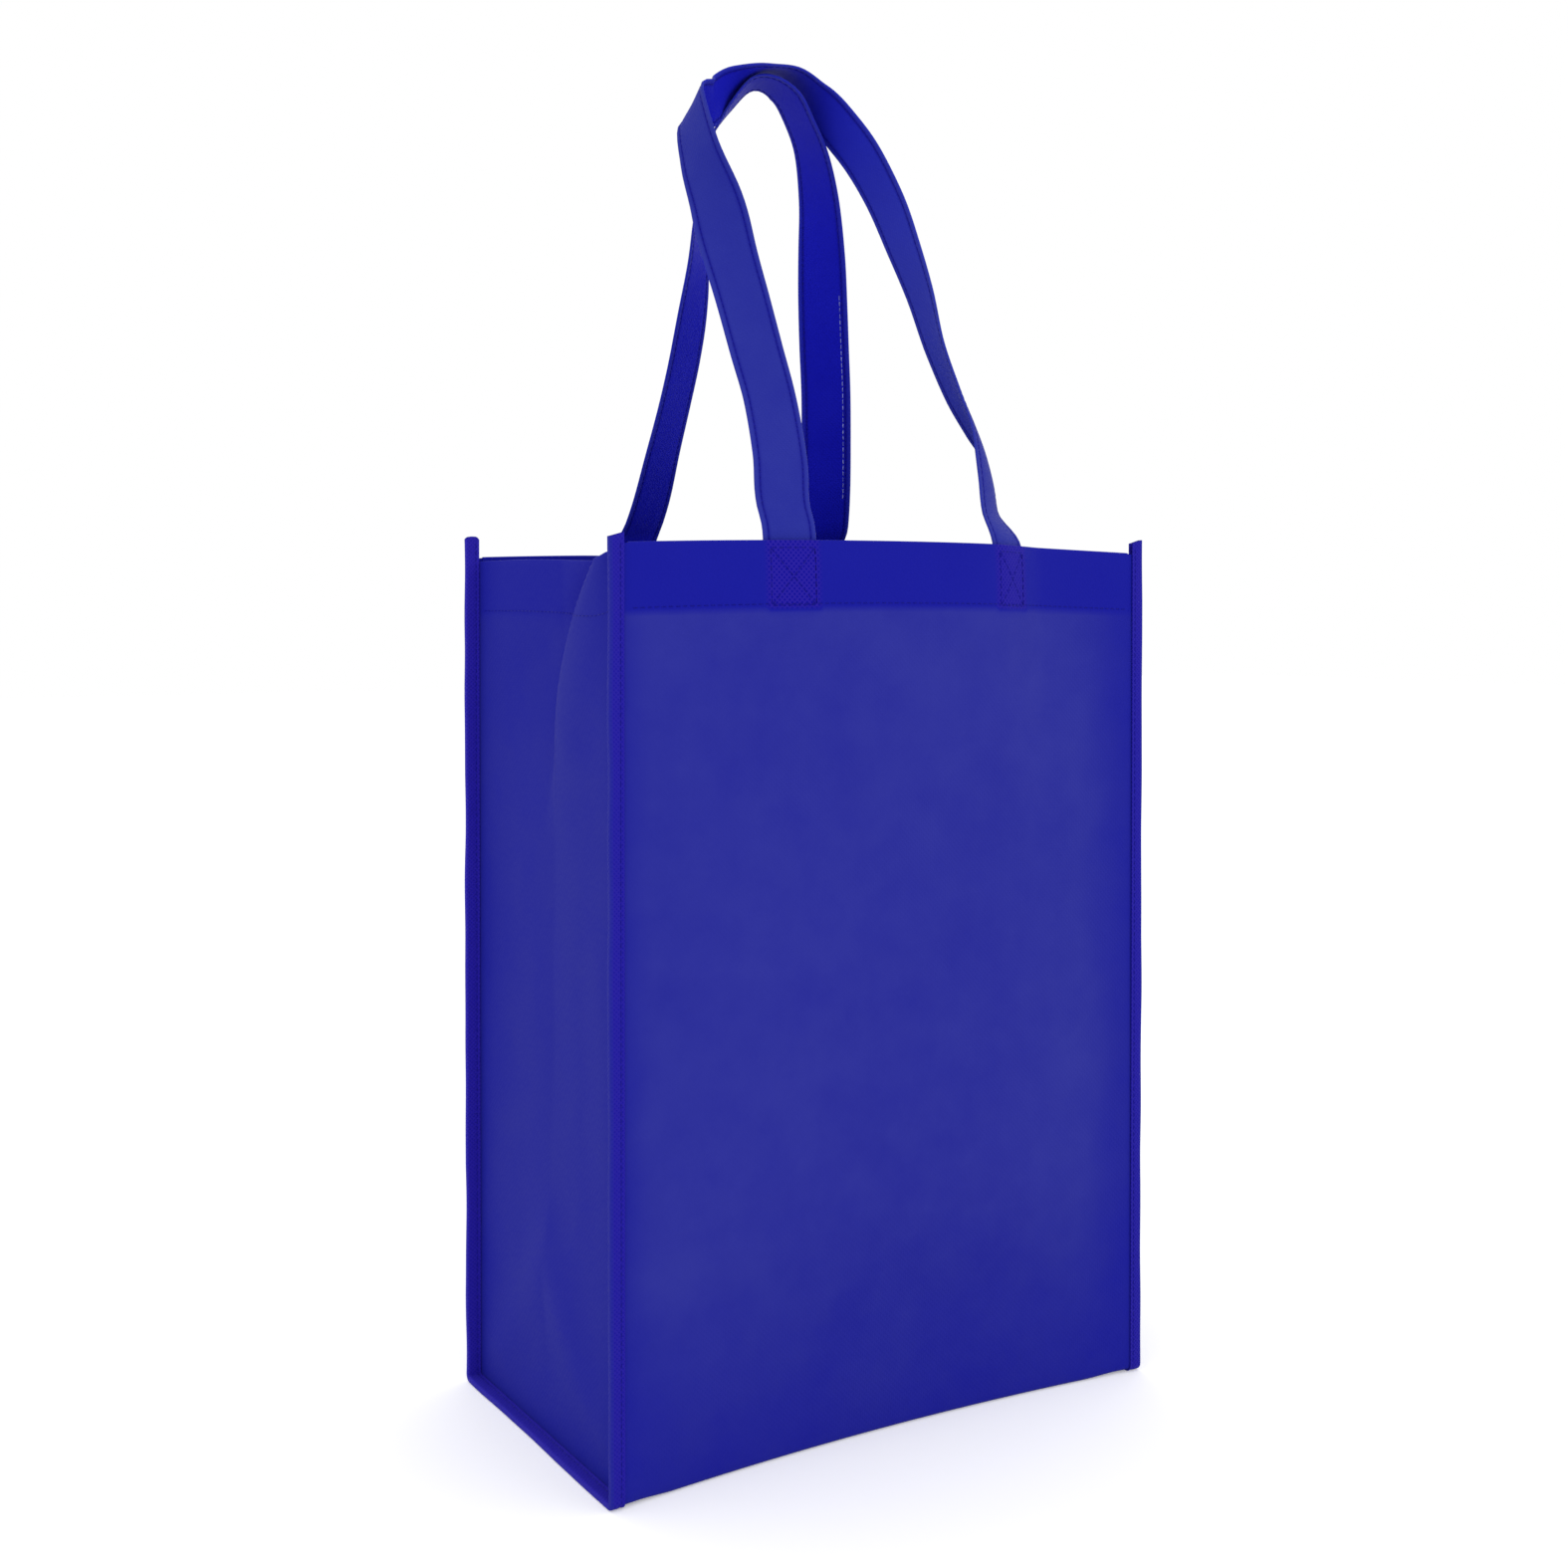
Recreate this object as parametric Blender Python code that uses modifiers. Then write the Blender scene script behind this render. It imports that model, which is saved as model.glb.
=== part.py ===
"""Open-topped carrier bag sewn from non-woven polypropylene sheet.

One long sheet makes the front, the base and the back. A gusset closes each side, and a folded
tape binds each outward seam: down the front corner, along the side of the base and up the back
corner. Two strap handles are sewn inside the top hems and stand up, one arch under the other.
The origin is at the middle of the base on the floor, the front faces -Y and +Z is up.
"""
import math

import bmesh
import bpy
from mathutils import Vector

MM = 0.001

# Driving dimensions, all in millimetres
BAG_WIDTH = 260.0
BAG_DEPTH = 150.0
FRONT_HEIGHT = 380.0
BACK_LOWER = 2.0
GUSSET_LOWER = 4.0
SHEET = 0.5
CLEARANCE = 0.3
SEAM_ALLOWANCE = 6.0
CREASE_RADIUS = 2.4
HEM_DEPTH = 28.0

# The tape over the seams. Its cut ends stand above the hems
TAPE = 0.5
TAPE_CORNER = 0.45
LEFT_FRONT_STAND = 3.5
LEFT_BACK_STAND = 10.0
RIGHT_FRONT_STAND = 6.0
RIGHT_BACK_STAND = 9.5

# How the soft panels stand: positive values push a panel outwards. The wave of the front's
# top, in shares of its depth, runs from the left seam to the right one, and the back's is the
# same turned half round
TOP_BOW = 2.5
BELLY = 7.0
TOE = -8.0
WAVE_DEPTH = 10.5
TOP_WAVE = ((-1.0, 0.0), (-0.7, 0.25), (-0.42, 0.51), (0.0, 0.86), (0.26, 1.0), (0.38, 0.86),
            (0.49, 0.33), (0.6, -0.19), (0.78, -0.24), (1.0, 0.0))
GUSSET_DIP = 2.5
GUSSET_RIDGE = 5.0
GUSSET_VALLEY = 6.0
RIDGE_TOP = -0.66
RIDGE_TRAVEL = 0.65
RIDGE_FALL = 45.0
RIDGE_LENGTH = 125.0
RIDGE_FULL = 45.0
GUSSET_CREASE = 3.5
GUSSET_FOOT = 2.0
FOOT_REACH = 22.0
SEAM_GRIP = 24.0
BASE_SAG_MARGIN = 12.0

# The two strap handles
STRAP_WIDTH = 24.5
STRAP_THICKNESS = 1.0
STRAP_OVERLAP = 29.0
STRAP_SPACING = 111.0
STRAP_SHIFT = 1.5
STRAP_RISE = 215.5
STRAP_FREE = 16.0
STRAP_GRIP = 2.0
STRAP_EASE = 0.3
BACK_DROP = 5.0

# Stations of each handle from its left end over the arch to its right end: place across in
# half spacings, distance from the mid plane as a share of the half depth, height as a share
# of the rise, the turn and the tilt of the strap's width, and how far its middle cups
# outwards between its edges, all three in degrees
FRONT_STATIONS = (
    (-1.01, 0.975, 0.0, -3.0, 0.0, 0.0),
    (-1.01, 0.925, 0.08, -6.0, 0.0, 0.0),
    (-0.96, 0.84, 0.165, -8.0, 0.0, 0.0),
    (-0.95, 0.72, 0.28, -9.0, 0.0, 0.0),
    (-0.99, 0.62, 0.38, -12.0, 0.0, 0.0),
    (-1.035, 0.52, 0.485, -15.0, 0.0, 0.0),
    (-1.08, 0.41, 0.59, -24.0, 0.0, 0.0),
    (-1.12, 0.325, 0.685, -50.0, 5.0, 0.0),
    (-1.2, 0.235, 0.785, -74.0, 18.0, 0.0),
    (-1.19, 0.125, 0.89, -90.0, 32.0, 0.0),
    (-0.97, 0.06, 0.91, -126.0, 39.0, 0.0),
    (-0.74, 0.0, 0.955, -126.0, 20.0, 0.0),
    (-0.49, 0.01, 0.995, -107.0, 0.0, 0.0),
    (-0.23, 0.035, 1.0, -91.0, -3.0, 0.0),
    (0.0, 0.05, 0.96, -79.0, -3.0, 0.0),
    (0.18, 0.115, 0.9, -72.0, 0.0, 0.0),
    (0.35, 0.2, 0.83, -76.0, 0.0, 0.0),
    (0.51, 0.285, 0.735, -83.0, 0.0, 0.0),
    (0.6, 0.39, 0.63, -90.0, 0.0, 0.0),
    (0.675, 0.48, 0.53, -98.0, 0.0, 5.0),
    (0.73, 0.57, 0.42, -106.0, 0.0, 12.0),
    (0.81, 0.67, 0.32, -110.0, 0.0, 19.0),
    (0.885, 0.76, 0.245, -118.0, 0.0, 23.0),
    (0.925, 0.815, 0.195, -131.0, 0.0, 24.0),
    (0.93, 0.88, 0.135, -140.0, 0.0, 20.0),
    (0.92, 0.93, 0.075, -143.0, 0.0, 12.0),
    (0.96, 0.975, 0.0, -148.0, 0.0, 0.0),
)
BACK_STATIONS = (
    (-0.88, 0.975, 0.0, 16.0, 0.0, 0.0),
    (-0.86, 0.88, 0.105, 19.0, 0.0, 0.0),
    (-0.82, 0.775, 0.215, 24.0, 0.0, 0.0),
    (-0.78, 0.67, 0.32, 27.0, 0.0, 0.0),
    (-0.75, 0.575, 0.42, 28.0, 0.0, 0.0),
    (-0.75, 0.47, 0.52, 31.0, 0.0, 0.0),
    (-0.765, 0.38, 0.62, 40.0, 3.0, 0.0),
    (-0.8, 0.325, 0.735, 56.0, 9.0, 0.0),
    (-0.77, 0.25, 0.85, 68.0, 10.0, 0.0),
    (-0.605, 0.135, 0.95, 66.0, 7.0, 0.0),
    (-0.44, 0.02, 1.0, 65.0, 0.0, 0.0),
    (-0.24, 0.01, 0.985, 73.0, -8.0, 0.0),
    (-0.04, 0.06, 0.935, 81.0, -5.0, 0.0),
    (0.135, 0.12, 0.87, 91.0, -3.0, 0.0),
    (0.29, 0.22, 0.78, 105.0, -2.0, 0.0),
    (0.4, 0.32, 0.675, 121.0, 0.0, 0.0),
    (0.51, 0.435, 0.575, 132.0, 0.0, 0.0),
    (0.615, 0.54, 0.475, 138.0, 0.0, 0.0),
    (0.715, 0.635, 0.375, 140.0, 0.0, 0.0),
    (0.805, 0.735, 0.265, 145.0, 0.0, 0.0),
    (0.89, 0.835, 0.15, 154.0, 0.0, 0.0),
    (0.97, 0.925, 0.05, 168.0, 0.0, 0.0),
    (1.01, 0.975, 0.0, 176.0, 0.0, 0.0),
)

# Mesh density
PANEL_COLUMNS = 30
PANEL_ROWS = 20
GUSSET_COLUMNS = 16
GUSSET_ROWS = 22
BASE_ROWS = 6
ARC_STEPS = 4
TAPE_ROWS = 10
STRAP_COLUMNS = 4
STRAP_STEPS = 3
STRAP_END_ROWS = 5
HEM_ROWS = 3

BACK_HEIGHT = FRONT_HEIGHT - BACK_LOWER
GUSSET_HEIGHT = FRONT_HEIGHT - GUSSET_LOWER
HALF_WIDTH = BAG_WIDTH / 2
HALF_DEPTH = BAG_DEPTH / 2
LAYER = SHEET + CLEARANCE
BIND = LAYER / 2 + SHEET / 2 + CLEARANCE + TAPE / 2
FLOOR_GAP = TAPE + CLEARANCE
BLUE = (0.022, 0.024, 0.31, 1.0)
DEEP_BLUE = (0.012, 0.014, 0.29, 1.0)
TAPE_BLUE = (0.026, 0.018, 0.30, 1.0)


def clamp(value, low=0.0, high=1.0):
    """Keep a value between two limits."""
    return max(low, min(high, value))


def smooth(value, low, high):
    """Rise gently from 0 at low to 1 at high."""
    t = clamp((value - low) / (high - low))
    return t * t * (3.0 - 2.0 * t)


def spline(before, start, end, after, t):
    """One span of a Catmull-Rom curve, number by number."""
    return tuple(0.5 * (2 * b + (c - a) * t + (2 * a - 5 * b + 4 * c - d) * t ** 2
                        + (3 * b - a - 3 * c + d) * t ** 3)
                 for a, b, c, d in zip(before, start, end, after))


def profile_height(points, place):
    """Height of a smooth profile at one place along it."""
    for i in range(len(points) - 1):
        if place <= points[i + 1][0]:
            break
    before = points[max(i - 1, 0)]
    after = points[min(i + 2, len(points) - 1)]
    t = clamp((place - points[i][0]) / (points[i + 1][0] - points[i][0]))
    return spline(before[1:], points[i][1:], points[i + 1][1:], after[1:], t)[0]


def material(name, colour, roughness):
    """A plain dyed fibre finish."""
    finish = bpy.data.materials.new(name)
    finish.use_nodes = True
    shader = finish.node_tree.nodes["Principled BSDF"]
    shader.inputs["Base Color"].default_value = colour
    shader.inputs["Roughness"].default_value = roughness
    shader.inputs["Metallic"].default_value = 0.0
    return finish


def finish_sheet(name, mesh, thickness, finish):
    """Give an open surface its thickness, evenly to both sides, and add it to the bag."""
    bmesh.ops.recalc_face_normals(mesh, faces=mesh.faces)
    data = bpy.data.meshes.new(name)
    mesh.to_mesh(data)
    mesh.free()
    piece = bpy.data.objects.new(name, data)
    BAG.objects.link(piece)
    data.materials.append(finish)
    data.shade_smooth()
    data.set_sharp_from_angle(angle=math.radians(35.0))
    wall = piece.modifiers.new("Thickness", 'SOLIDIFY')
    wall.thickness = thickness * MM
    wall.offset = 0.0
    wall.use_even_offset = True
    return piece


def grid(columns, rows, place):
    """A grid of faces whose corners are placed by a function of column and row."""
    mesh = bmesh.new()
    bmesh.ops.create_grid(mesh, x_segments=columns, y_segments=rows, size=0.5)
    for corner in mesh.verts:
        column = round((corner.co.x + 0.5) * columns)
        row = round((corner.co.y + 0.5) * rows)
        corner.co = [part * MM for part in place(column, row)]
    return mesh


def extend(mesh, edges, place):
    """Extrude open edges once, moving each new corner by a function of its old place."""
    made = bmesh.ops.extrude_edge_only(mesh, edges=edges)["geom"]
    for corner in (item for item in made if isinstance(item, bmesh.types.BMVert)):
        corner.co = [part * MM for part in place(*(part / MM for part in corner.co))]
    return [item for item in made if isinstance(item, bmesh.types.BMEdge)]


def across(x):
    """Place across the bag, from -1 at the left seam to 1 at the right seam."""
    return clamp(x / HALF_WIDTH, -1.0, 1.0)


def panel_height(x, back):
    """Height of a panel's folded top edge, which bows up between the handles."""
    top = BACK_HEIGHT if back else FRONT_HEIGHT
    return top + TOP_BOW * (1.0 - across(x) ** 2)


def panel_out(x, z, back):
    """How far a panel stands outside the plane of its seams at a place on it."""
    place = across(x)
    span = 1.0 - place ** 2
    rise = clamp(z / (BACK_HEIGHT if back else FRONT_HEIGHT))
    belly = BELLY * span * math.sin(math.pi * rise) ** 0.7 if 0.0 < rise < 1.0 else 0.0
    toe = TOE * span * (1.0 - smooth(rise, 0.0, 0.3))
    wave = profile_height(TOP_WAVE, -place if back else place) * smooth(rise, 0.62, 1.0)
    return belly + toe + WAVE_DEPTH * wave


def panel_y(x, z, back, inside=0.0):
    """Middle of a panel's sheet, or a surface parallel to it that much further inside."""
    distance = HALF_DEPTH + panel_out(x, z, back) - inside
    return distance if back else -distance


def base_z(x):
    """Middle of the base's sheet, which rests on the floor away from the bound seams."""
    lift = smooth(abs(x), HALF_WIDTH - 2 * BASE_SAG_MARGIN, HALF_WIDTH - BASE_SAG_MARGIN / 2)
    return SHEET / 2 + FLOOR_GAP * lift


def panel_columns():
    """Places of the main sheet's columns, with one just inside each seam for the hem's flap."""
    flap_edge = HALF_WIDTH - SHEET / 2 - LAYER - CLEARANCE - SHEET / 2
    inner = [flap_edge * (2.0 * i / PANEL_COLUMNS - 1.0) for i in range(PANEL_COLUMNS + 1)]
    outer = [HALF_WIDTH, HALF_WIDTH + SEAM_ALLOWANCE]
    return [-x for x in reversed(outer)] + inner + outer, flap_edge


def panel_profile(x):
    """The main sheet's profile at one column: front top, down, base and up to the back top."""
    low = base_z(x) + CREASE_RADIUS
    profile = []
    for row in range(PANEL_ROWS + 1):
        z = panel_height(x, False) + (low - panel_height(x, False)) * row / PANEL_ROWS
        profile.append((panel_y(x, z, False), z))
    front = panel_y(x, low, False) + CREASE_RADIUS
    back = panel_y(x, low, True) - CREASE_RADIUS
    for step in range(1, ARC_STEPS + 1):
        turn = math.pi / 2 * step / ARC_STEPS
        profile.append((front - CREASE_RADIUS * math.cos(turn), low - CREASE_RADIUS * math.sin(turn)))
    for row in range(1, BASE_ROWS):
        profile.append((front + (back - front) * row / BASE_ROWS, base_z(x)))
    for step in range(ARC_STEPS + 1):
        turn = math.pi / 2 * step / ARC_STEPS
        profile.append((back + CREASE_RADIUS * math.sin(turn), low - CREASE_RADIUS * math.cos(turn)))
    for row in range(1, PANEL_ROWS + 1):
        z = low + (panel_height(x, True) - low) * row / PANEL_ROWS
        profile.append((panel_y(x, z, True), z))
    return profile


def fold_hem(mesh, edges, height, middle):
    """Turn an edge over into a hem: a tight half round, then the flap down inside.

    height gives the top edge at a corner's place, and middle the sheet's place there at a
    height, moved inside by a distance.
    """
    radius = LAYER / 2
    for step in range(1, ARC_STEPS + 1):
        turn = math.pi * step / ARC_STEPS
        inside = radius * (1.0 - math.cos(turn))
        rise = radius * math.sin(turn)
        edges = extend(mesh, edges, lambda x, y, z: middle(x, y, height(x, y), inside, rise))
    for row in range(1, HEM_ROWS + 1):
        drop = -HEM_DEPTH * row / HEM_ROWS
        edges = extend(mesh, edges, lambda x, y, z: middle(x, y, height(x, y), LAYER, drop))


def add_main_panel(finish):
    """Front, base and back in one sheet, hemmed at both ends."""
    columns, flap_edge = panel_columns()
    profiles = [panel_profile(x) for x in columns]
    last = len(profiles[0]) - 1
    mesh = grid(len(columns) - 1, last,
                lambda column, row: (columns[column], *profiles[column][row]))
    for back in (False, True):
        def middle(x, y, top, inside, up):
            return x, panel_y(x, top + min(up, 0.0), back, inside), top + up

        def is_top(edge):
            return all(abs(corner.co.z / MM - panel_height(corner.co.x / MM, back)) < 0.01
                       and abs(corner.co.x) / MM < flap_edge + 0.01
                       and (corner.co.y > 0.0) == back for corner in edge.verts)
        edges = [edge for edge in mesh.edges if edge.is_boundary and is_top(edge)]
        fold_hem(mesh, edges, lambda x, y: panel_height(x, back), middle)
    return finish_sheet("main_panel", mesh, SHEET, finish)


def gusset_top(y, left):
    """Height of a gusset's folded top edge, which dips beside the left one's ridge."""
    place = y / HALF_DEPTH
    dip = smooth(place, -1.0, RIDGE_TOP) * (1.0 - smooth(place, RIDGE_TOP, 0.6))
    return GUSSET_HEIGHT - (GUSSET_DIP * dip if left else 0.0)


def gusset_out(y, z, left):
    """How far a gusset stands outside the plane of its seams at a place on it.

    Its middle crease points inwards and splits at the bottom into two creases that run to the
    corners. On the left a soft ridge falls from the top of the front seam to the middle
    crease, with a hollow behind it.
    """
    place = clamp(y / HALF_DEPTH, -1.0, 1.0)
    span = 1.0 - place ** 2
    held = smooth(z, 2 * CREASE_RADIUS, SEAM_GRIP) * smooth(HALF_DEPTH - abs(y), 1.5, SEAM_GRIP / 2)
    above = smooth(z, HALF_DEPTH * 0.75, HALF_DEPTH * 2.4)
    crease = -GUSSET_CREASE * max(0.0, 1.0 - abs(place)) * above
    foot_height = HALF_DEPTH * (1.0 - abs(place))
    foot = GUSSET_FOOT * span * math.exp(-((z - foot_height) / FOOT_REACH) ** 2) * (1.0 - above)
    if not left:
        return held * (crease + foot)
    fall = max(0.0, GUSSET_HEIGHT - z)
    ridge_at = RIDGE_TOP + RIDGE_TRAVEL * (1.0 - math.exp(-fall / RIDGE_FALL))
    strength = smooth(z, GUSSET_HEIGHT - RIDGE_LENGTH, GUSSET_HEIGHT - RIDGE_FULL)
    if place < ridge_at:
        ridge = smooth(place, -1.0, ridge_at)
    else:
        ridge = 1.0 - smooth(place, ridge_at, ridge_at + 0.2)
    behind = max(0.0, place - ridge_at)
    hollow = smooth(behind, 0.0, 0.22) * (1.0 - smooth(place, ridge_at + 0.22, 1.0))
    return held * (crease + foot + strength * (GUSSET_RIDGE * ridge - GUSSET_VALLEY * hollow))


def add_gusset(name, left, finish):
    """A side panel with lips bent outwards into the seams and a hem at the top."""
    side = -1.0 if left else 1.0
    radius = CREASE_RADIUS - LAYER
    centre = HALF_DEPTH - CREASE_RADIUS
    low = FLOOR_GAP + SHEET / 2 + CREASE_RADIUS

    def place(column, row):
        turn = math.pi / 2 * min(row, ARC_STEPS) / ARC_STEPS
        y = (centre + radius * math.sin(turn)) * (2.0 * column / GUSSET_COLUMNS - 1.0)
        z = low - radius * math.cos(turn)
        z += (gusset_top(y, left) - low) * max(0, row - ARC_STEPS) / GUSSET_ROWS
        return side * (HALF_WIDTH + gusset_out(y, z, left)), y, z
    mesh = grid(GUSSET_COLUMNS, ARC_STEPS + GUSSET_ROWS, place)
    edges = [edge for edge in mesh.edges if edge.is_boundary]
    top = [edge for edge in edges
           if all(abs(corner.co.z / MM - gusset_top(corner.co.y / MM, left)) < 0.01
                  for corner in edge.verts)]
    sides = [edge for edge in edges if edge not in top]

    def middle(x, y, height, inside, up):
        out = gusset_out(y, height + min(up, 0.0), left)
        return side * (HALF_WIDTH + out - inside), y, height + up
    fold_hem(mesh, top, lambda x, y: gusset_top(y, left), middle)
    extend(mesh, sides, lambda x, y, z: (side * (HALF_WIDTH + SEAM_ALLOWANCE), y, z))
    return finish_sheet(name, mesh, SHEET, finish)


def tape_path(front_stand, back_stand):
    """Middle of the bound seam from the front tip round the base to the back tip."""
    front_end = FRONT_HEIGHT + front_stand
    back_end = BACK_HEIGHT + back_stand
    radius = CREASE_RADIUS - LAYER / 2
    centre = HALF_DEPTH - CREASE_RADIUS
    low = FLOOR_GAP + SHEET / 2 + CREASE_RADIUS
    path = [(-centre - radius, front_end + (low - front_end) * row / TAPE_ROWS, -1.0, 0.0)
            for row in range(TAPE_ROWS)]
    for corner, start in ((-centre, math.pi), (centre, 1.5 * math.pi)):
        for step in range(ARC_STEPS + 1):
            turn = start + math.pi / 2 * step / ARC_STEPS
            path.append((corner + radius * math.cos(turn), low + radius * math.sin(turn),
                         math.cos(turn), math.sin(turn)))
    path += [(centre + radius, low + (back_end - low) * row / TAPE_ROWS, 1.0, 0.0)
             for row in range(1, TAPE_ROWS + 1)]
    return path


def add_binding(name, side, stands, finish):
    """Folded tape over the seam allowances of one side, sewn through all layers."""
    root = HALF_WIDTH + SHEET / 2 + CLEARANCE
    tip = HALF_WIDTH + SEAM_ALLOWANCE + CLEARANCE + TAPE / 2
    section = ((root, -BIND), ((root + tip) / 2, -BIND), (tip - TAPE_CORNER, -BIND),
               (tip, TAPE_CORNER - BIND), (tip, BIND - TAPE_CORNER),
               (tip - TAPE_CORNER, BIND), ((root + tip) / 2, BIND), (root, BIND))
    path = tape_path(*stands)

    def place(column, row):
        x, out = section[column]
        y, z, along_y, along_z = path[row]
        return side * x, y + out * along_y, z + out * along_z
    mesh = grid(len(section) - 1, len(path) - 1, place)
    return finish_sheet(name, mesh, TAPE, finish)


def strap_points(stations, back):
    """Centre places, turns and cupping along a handle, from the driving dimensions."""
    points = []
    for out, depth, rise, turn, tilt, cup in stations:
        x = STRAP_SHIFT + out * STRAP_SPACING / 2
        y = depth * HALF_DEPTH * (1.0 if back else -1.0)
        reach = STRAP_RISE - (BACK_DROP if back else 0.0)
        points.append((x, y, FRONT_HEIGHT + TOP_BOW + rise * reach, turn, tilt, cup))
    fine = []
    for i in range(len(points) - 1):
        before = points[max(i - 1, 0)]
        after = points[min(i + 2, len(points) - 1)]
        for step in range(STRAP_STEPS):
            fine.append(spline(before, points[i], points[i + 1], after, step / STRAP_STEPS))
    return fine + [points[-1]]


def strap_rows(stations, back):
    """Rows of corners along a strap: sewn end, free run over the arch, sewn end."""
    inside = SHEET / 2 + LAYER + CLEARANCE + STRAP_EASE + STRAP_THICKNESS / 2
    free = strap_points(stations, back)
    rows = []
    for i, (x, y, z, turn, tilt, cup) in enumerate(free):
        before = Vector(free[max(i - 1, 0)][:3])
        after = Vector(free[min(i + 1, len(free) - 1)][:3])
        along = (after - before).normalized()
        flat = math.cos(math.radians(tilt))
        wide = Vector((flat * math.cos(math.radians(turn)), flat * math.sin(math.radians(turn)),
                       math.sin(math.radians(tilt))))
        wide = (wide - wide.dot(along) * along).normalized()
        inward = along.cross(wide)
        bend = max(math.radians(abs(cup)), 0.001)
        radius = STRAP_WIDTH / (2 * bend)
        row = []
        for column in range(STRAP_COLUMNS + 1):
            turned = bend * (2 * column / STRAP_COLUMNS - 1)
            bulge = math.copysign(radius * (math.cos(turned) - math.cos(bend)), cup)
            px, py, pz = Vector((x, y, z)) + radius * math.sin(turned) * wide - bulge * inward
            top = panel_height(px, back)
            held = 1.0 - smooth(pz, top, top + STRAP_FREE)
            py += held * (panel_y(px, min(pz, top), back, inside) - py)
            row.append((px, py, pz))
        rows.append(row)
    for end in (0, -1):
        top_row = rows[end]
        for step in range(STRAP_END_ROWS):
            drop = STRAP_GRIP + (STRAP_OVERLAP - STRAP_GRIP) * step / (STRAP_END_ROWS - 1)
            heights = [(px, panel_height(px, back) - drop) for px, py, pz in top_row]
            row = [(px, panel_y(px, pz, back, inside), pz) for px, pz in heights]
            if end == 0:
                rows.insert(0, row)
            else:
                rows.append(row)
    return rows


def add_handle(name, stations, back, finish):
    """A folded strap sewn inside one hem at both ends."""
    rows = strap_rows(stations, back)
    mesh = grid(STRAP_COLUMNS, len(rows) - 1, lambda column, row: rows[row][column])
    return finish_sheet(name, mesh, STRAP_THICKNESS, finish)


def build():
    """Clear the scene and make every sewn piece."""
    add_main_panel(material("panel_cloth", BLUE, 0.62))
    add_gusset("left_gusset", True, material("left_gusset_cloth", BLUE, 0.62))
    add_gusset("right_gusset", False, material("right_gusset_cloth", BLUE, 0.62))
    add_binding("left_binding", -1.0, (LEFT_FRONT_STAND, LEFT_BACK_STAND),
                material("left_binding_tape", TAPE_BLUE, 0.6))
    add_binding("right_binding", 1.0, (RIGHT_FRONT_STAND, RIGHT_BACK_STAND),
                material("right_binding_tape", TAPE_BLUE, 0.6))
    add_handle("front_handle", FRONT_STATIONS, False, material("front_handle_strap", BLUE, 0.55))
    add_handle("back_handle", BACK_STATIONS, True, material("back_handle_strap", DEEP_BLUE, 0.55))


for old in list(bpy.data.objects):
    bpy.data.objects.remove(old, do_unlink=True)
BAG = bpy.data.collections.new("carrier_bag")
bpy.context.scene.collection.children.link(BAG)
build()
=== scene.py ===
"""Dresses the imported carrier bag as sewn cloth: panels, taped seams, straps and their threads.

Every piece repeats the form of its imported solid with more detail. Lengths are in metres, the
front faces -Y, and the bag stands on z = 0.
"""
import math

import bmesh
import bpy
import numpy as np
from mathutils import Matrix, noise


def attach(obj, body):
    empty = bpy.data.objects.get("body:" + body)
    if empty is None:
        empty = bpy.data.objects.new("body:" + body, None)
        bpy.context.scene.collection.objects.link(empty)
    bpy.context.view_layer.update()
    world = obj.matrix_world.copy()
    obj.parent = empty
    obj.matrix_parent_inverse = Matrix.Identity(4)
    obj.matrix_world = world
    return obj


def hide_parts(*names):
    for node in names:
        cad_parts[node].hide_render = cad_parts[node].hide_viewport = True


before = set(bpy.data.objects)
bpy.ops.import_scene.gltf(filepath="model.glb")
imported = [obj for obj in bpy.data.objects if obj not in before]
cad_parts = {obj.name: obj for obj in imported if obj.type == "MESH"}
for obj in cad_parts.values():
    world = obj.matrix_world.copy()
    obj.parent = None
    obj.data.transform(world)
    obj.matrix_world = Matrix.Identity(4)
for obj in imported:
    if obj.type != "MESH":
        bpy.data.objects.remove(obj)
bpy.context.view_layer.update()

bl_info = {
    "name": "Sewn Carrier Bag",
    "version": (1, 0, 0),
    "blender": (4, 5, 0),
    "location": "View3D > Sidebar > Carrier Bag",
    "description": "A gusseted carrier bag of non-woven cloth with taped seams and strap handles",
    "category": "Add Mesh",
}

# Construction that follows from the cloth and the machine that sews it
CLEARANCE = 0.0003
CREASE_RADIUS = 0.0024
TAPE = 0.0005
TAPE_CORNER = 0.00045
STRAP_EASE = 0.0003
STRAP_GRIP = 0.002
STRAP_OVERLAP = 0.029
STRAP_FREE = 0.016
HEM_STITCH_IN = 0.0026
TAPE_STITCH_IN = 0.0016
STRAP_STITCH_IN = 0.0026
BOX_MARGIN = 0.003
BOX_TOP = 0.0025
FRONT_LINE_SHORT = 0.003
SIDE_LINE_SHORT = 0.006
PULLED_IN = 0.00018
STITCH_SHARE = 0.84

# How finely the cloth is laid out
BEND_STEPS = 7
FOLD_STEPS = 9
FLAP_ROWS = 12
PANEL_COLUMNS = 97
PANEL_ROWS = 131
BASE_ROWS = 41
GUSSET_COLUMNS = 73
GUSSET_ROWS = 135
SPAN_STEPS = 6
TAPE_STEP = 0.003

# How soft the edges of a shade are, and how close two places are that count as one
BLUR = 0.0007
STRAP_BLUR = 0.0004
WELD = 0.00002
HAIR = 0.00001

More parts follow.
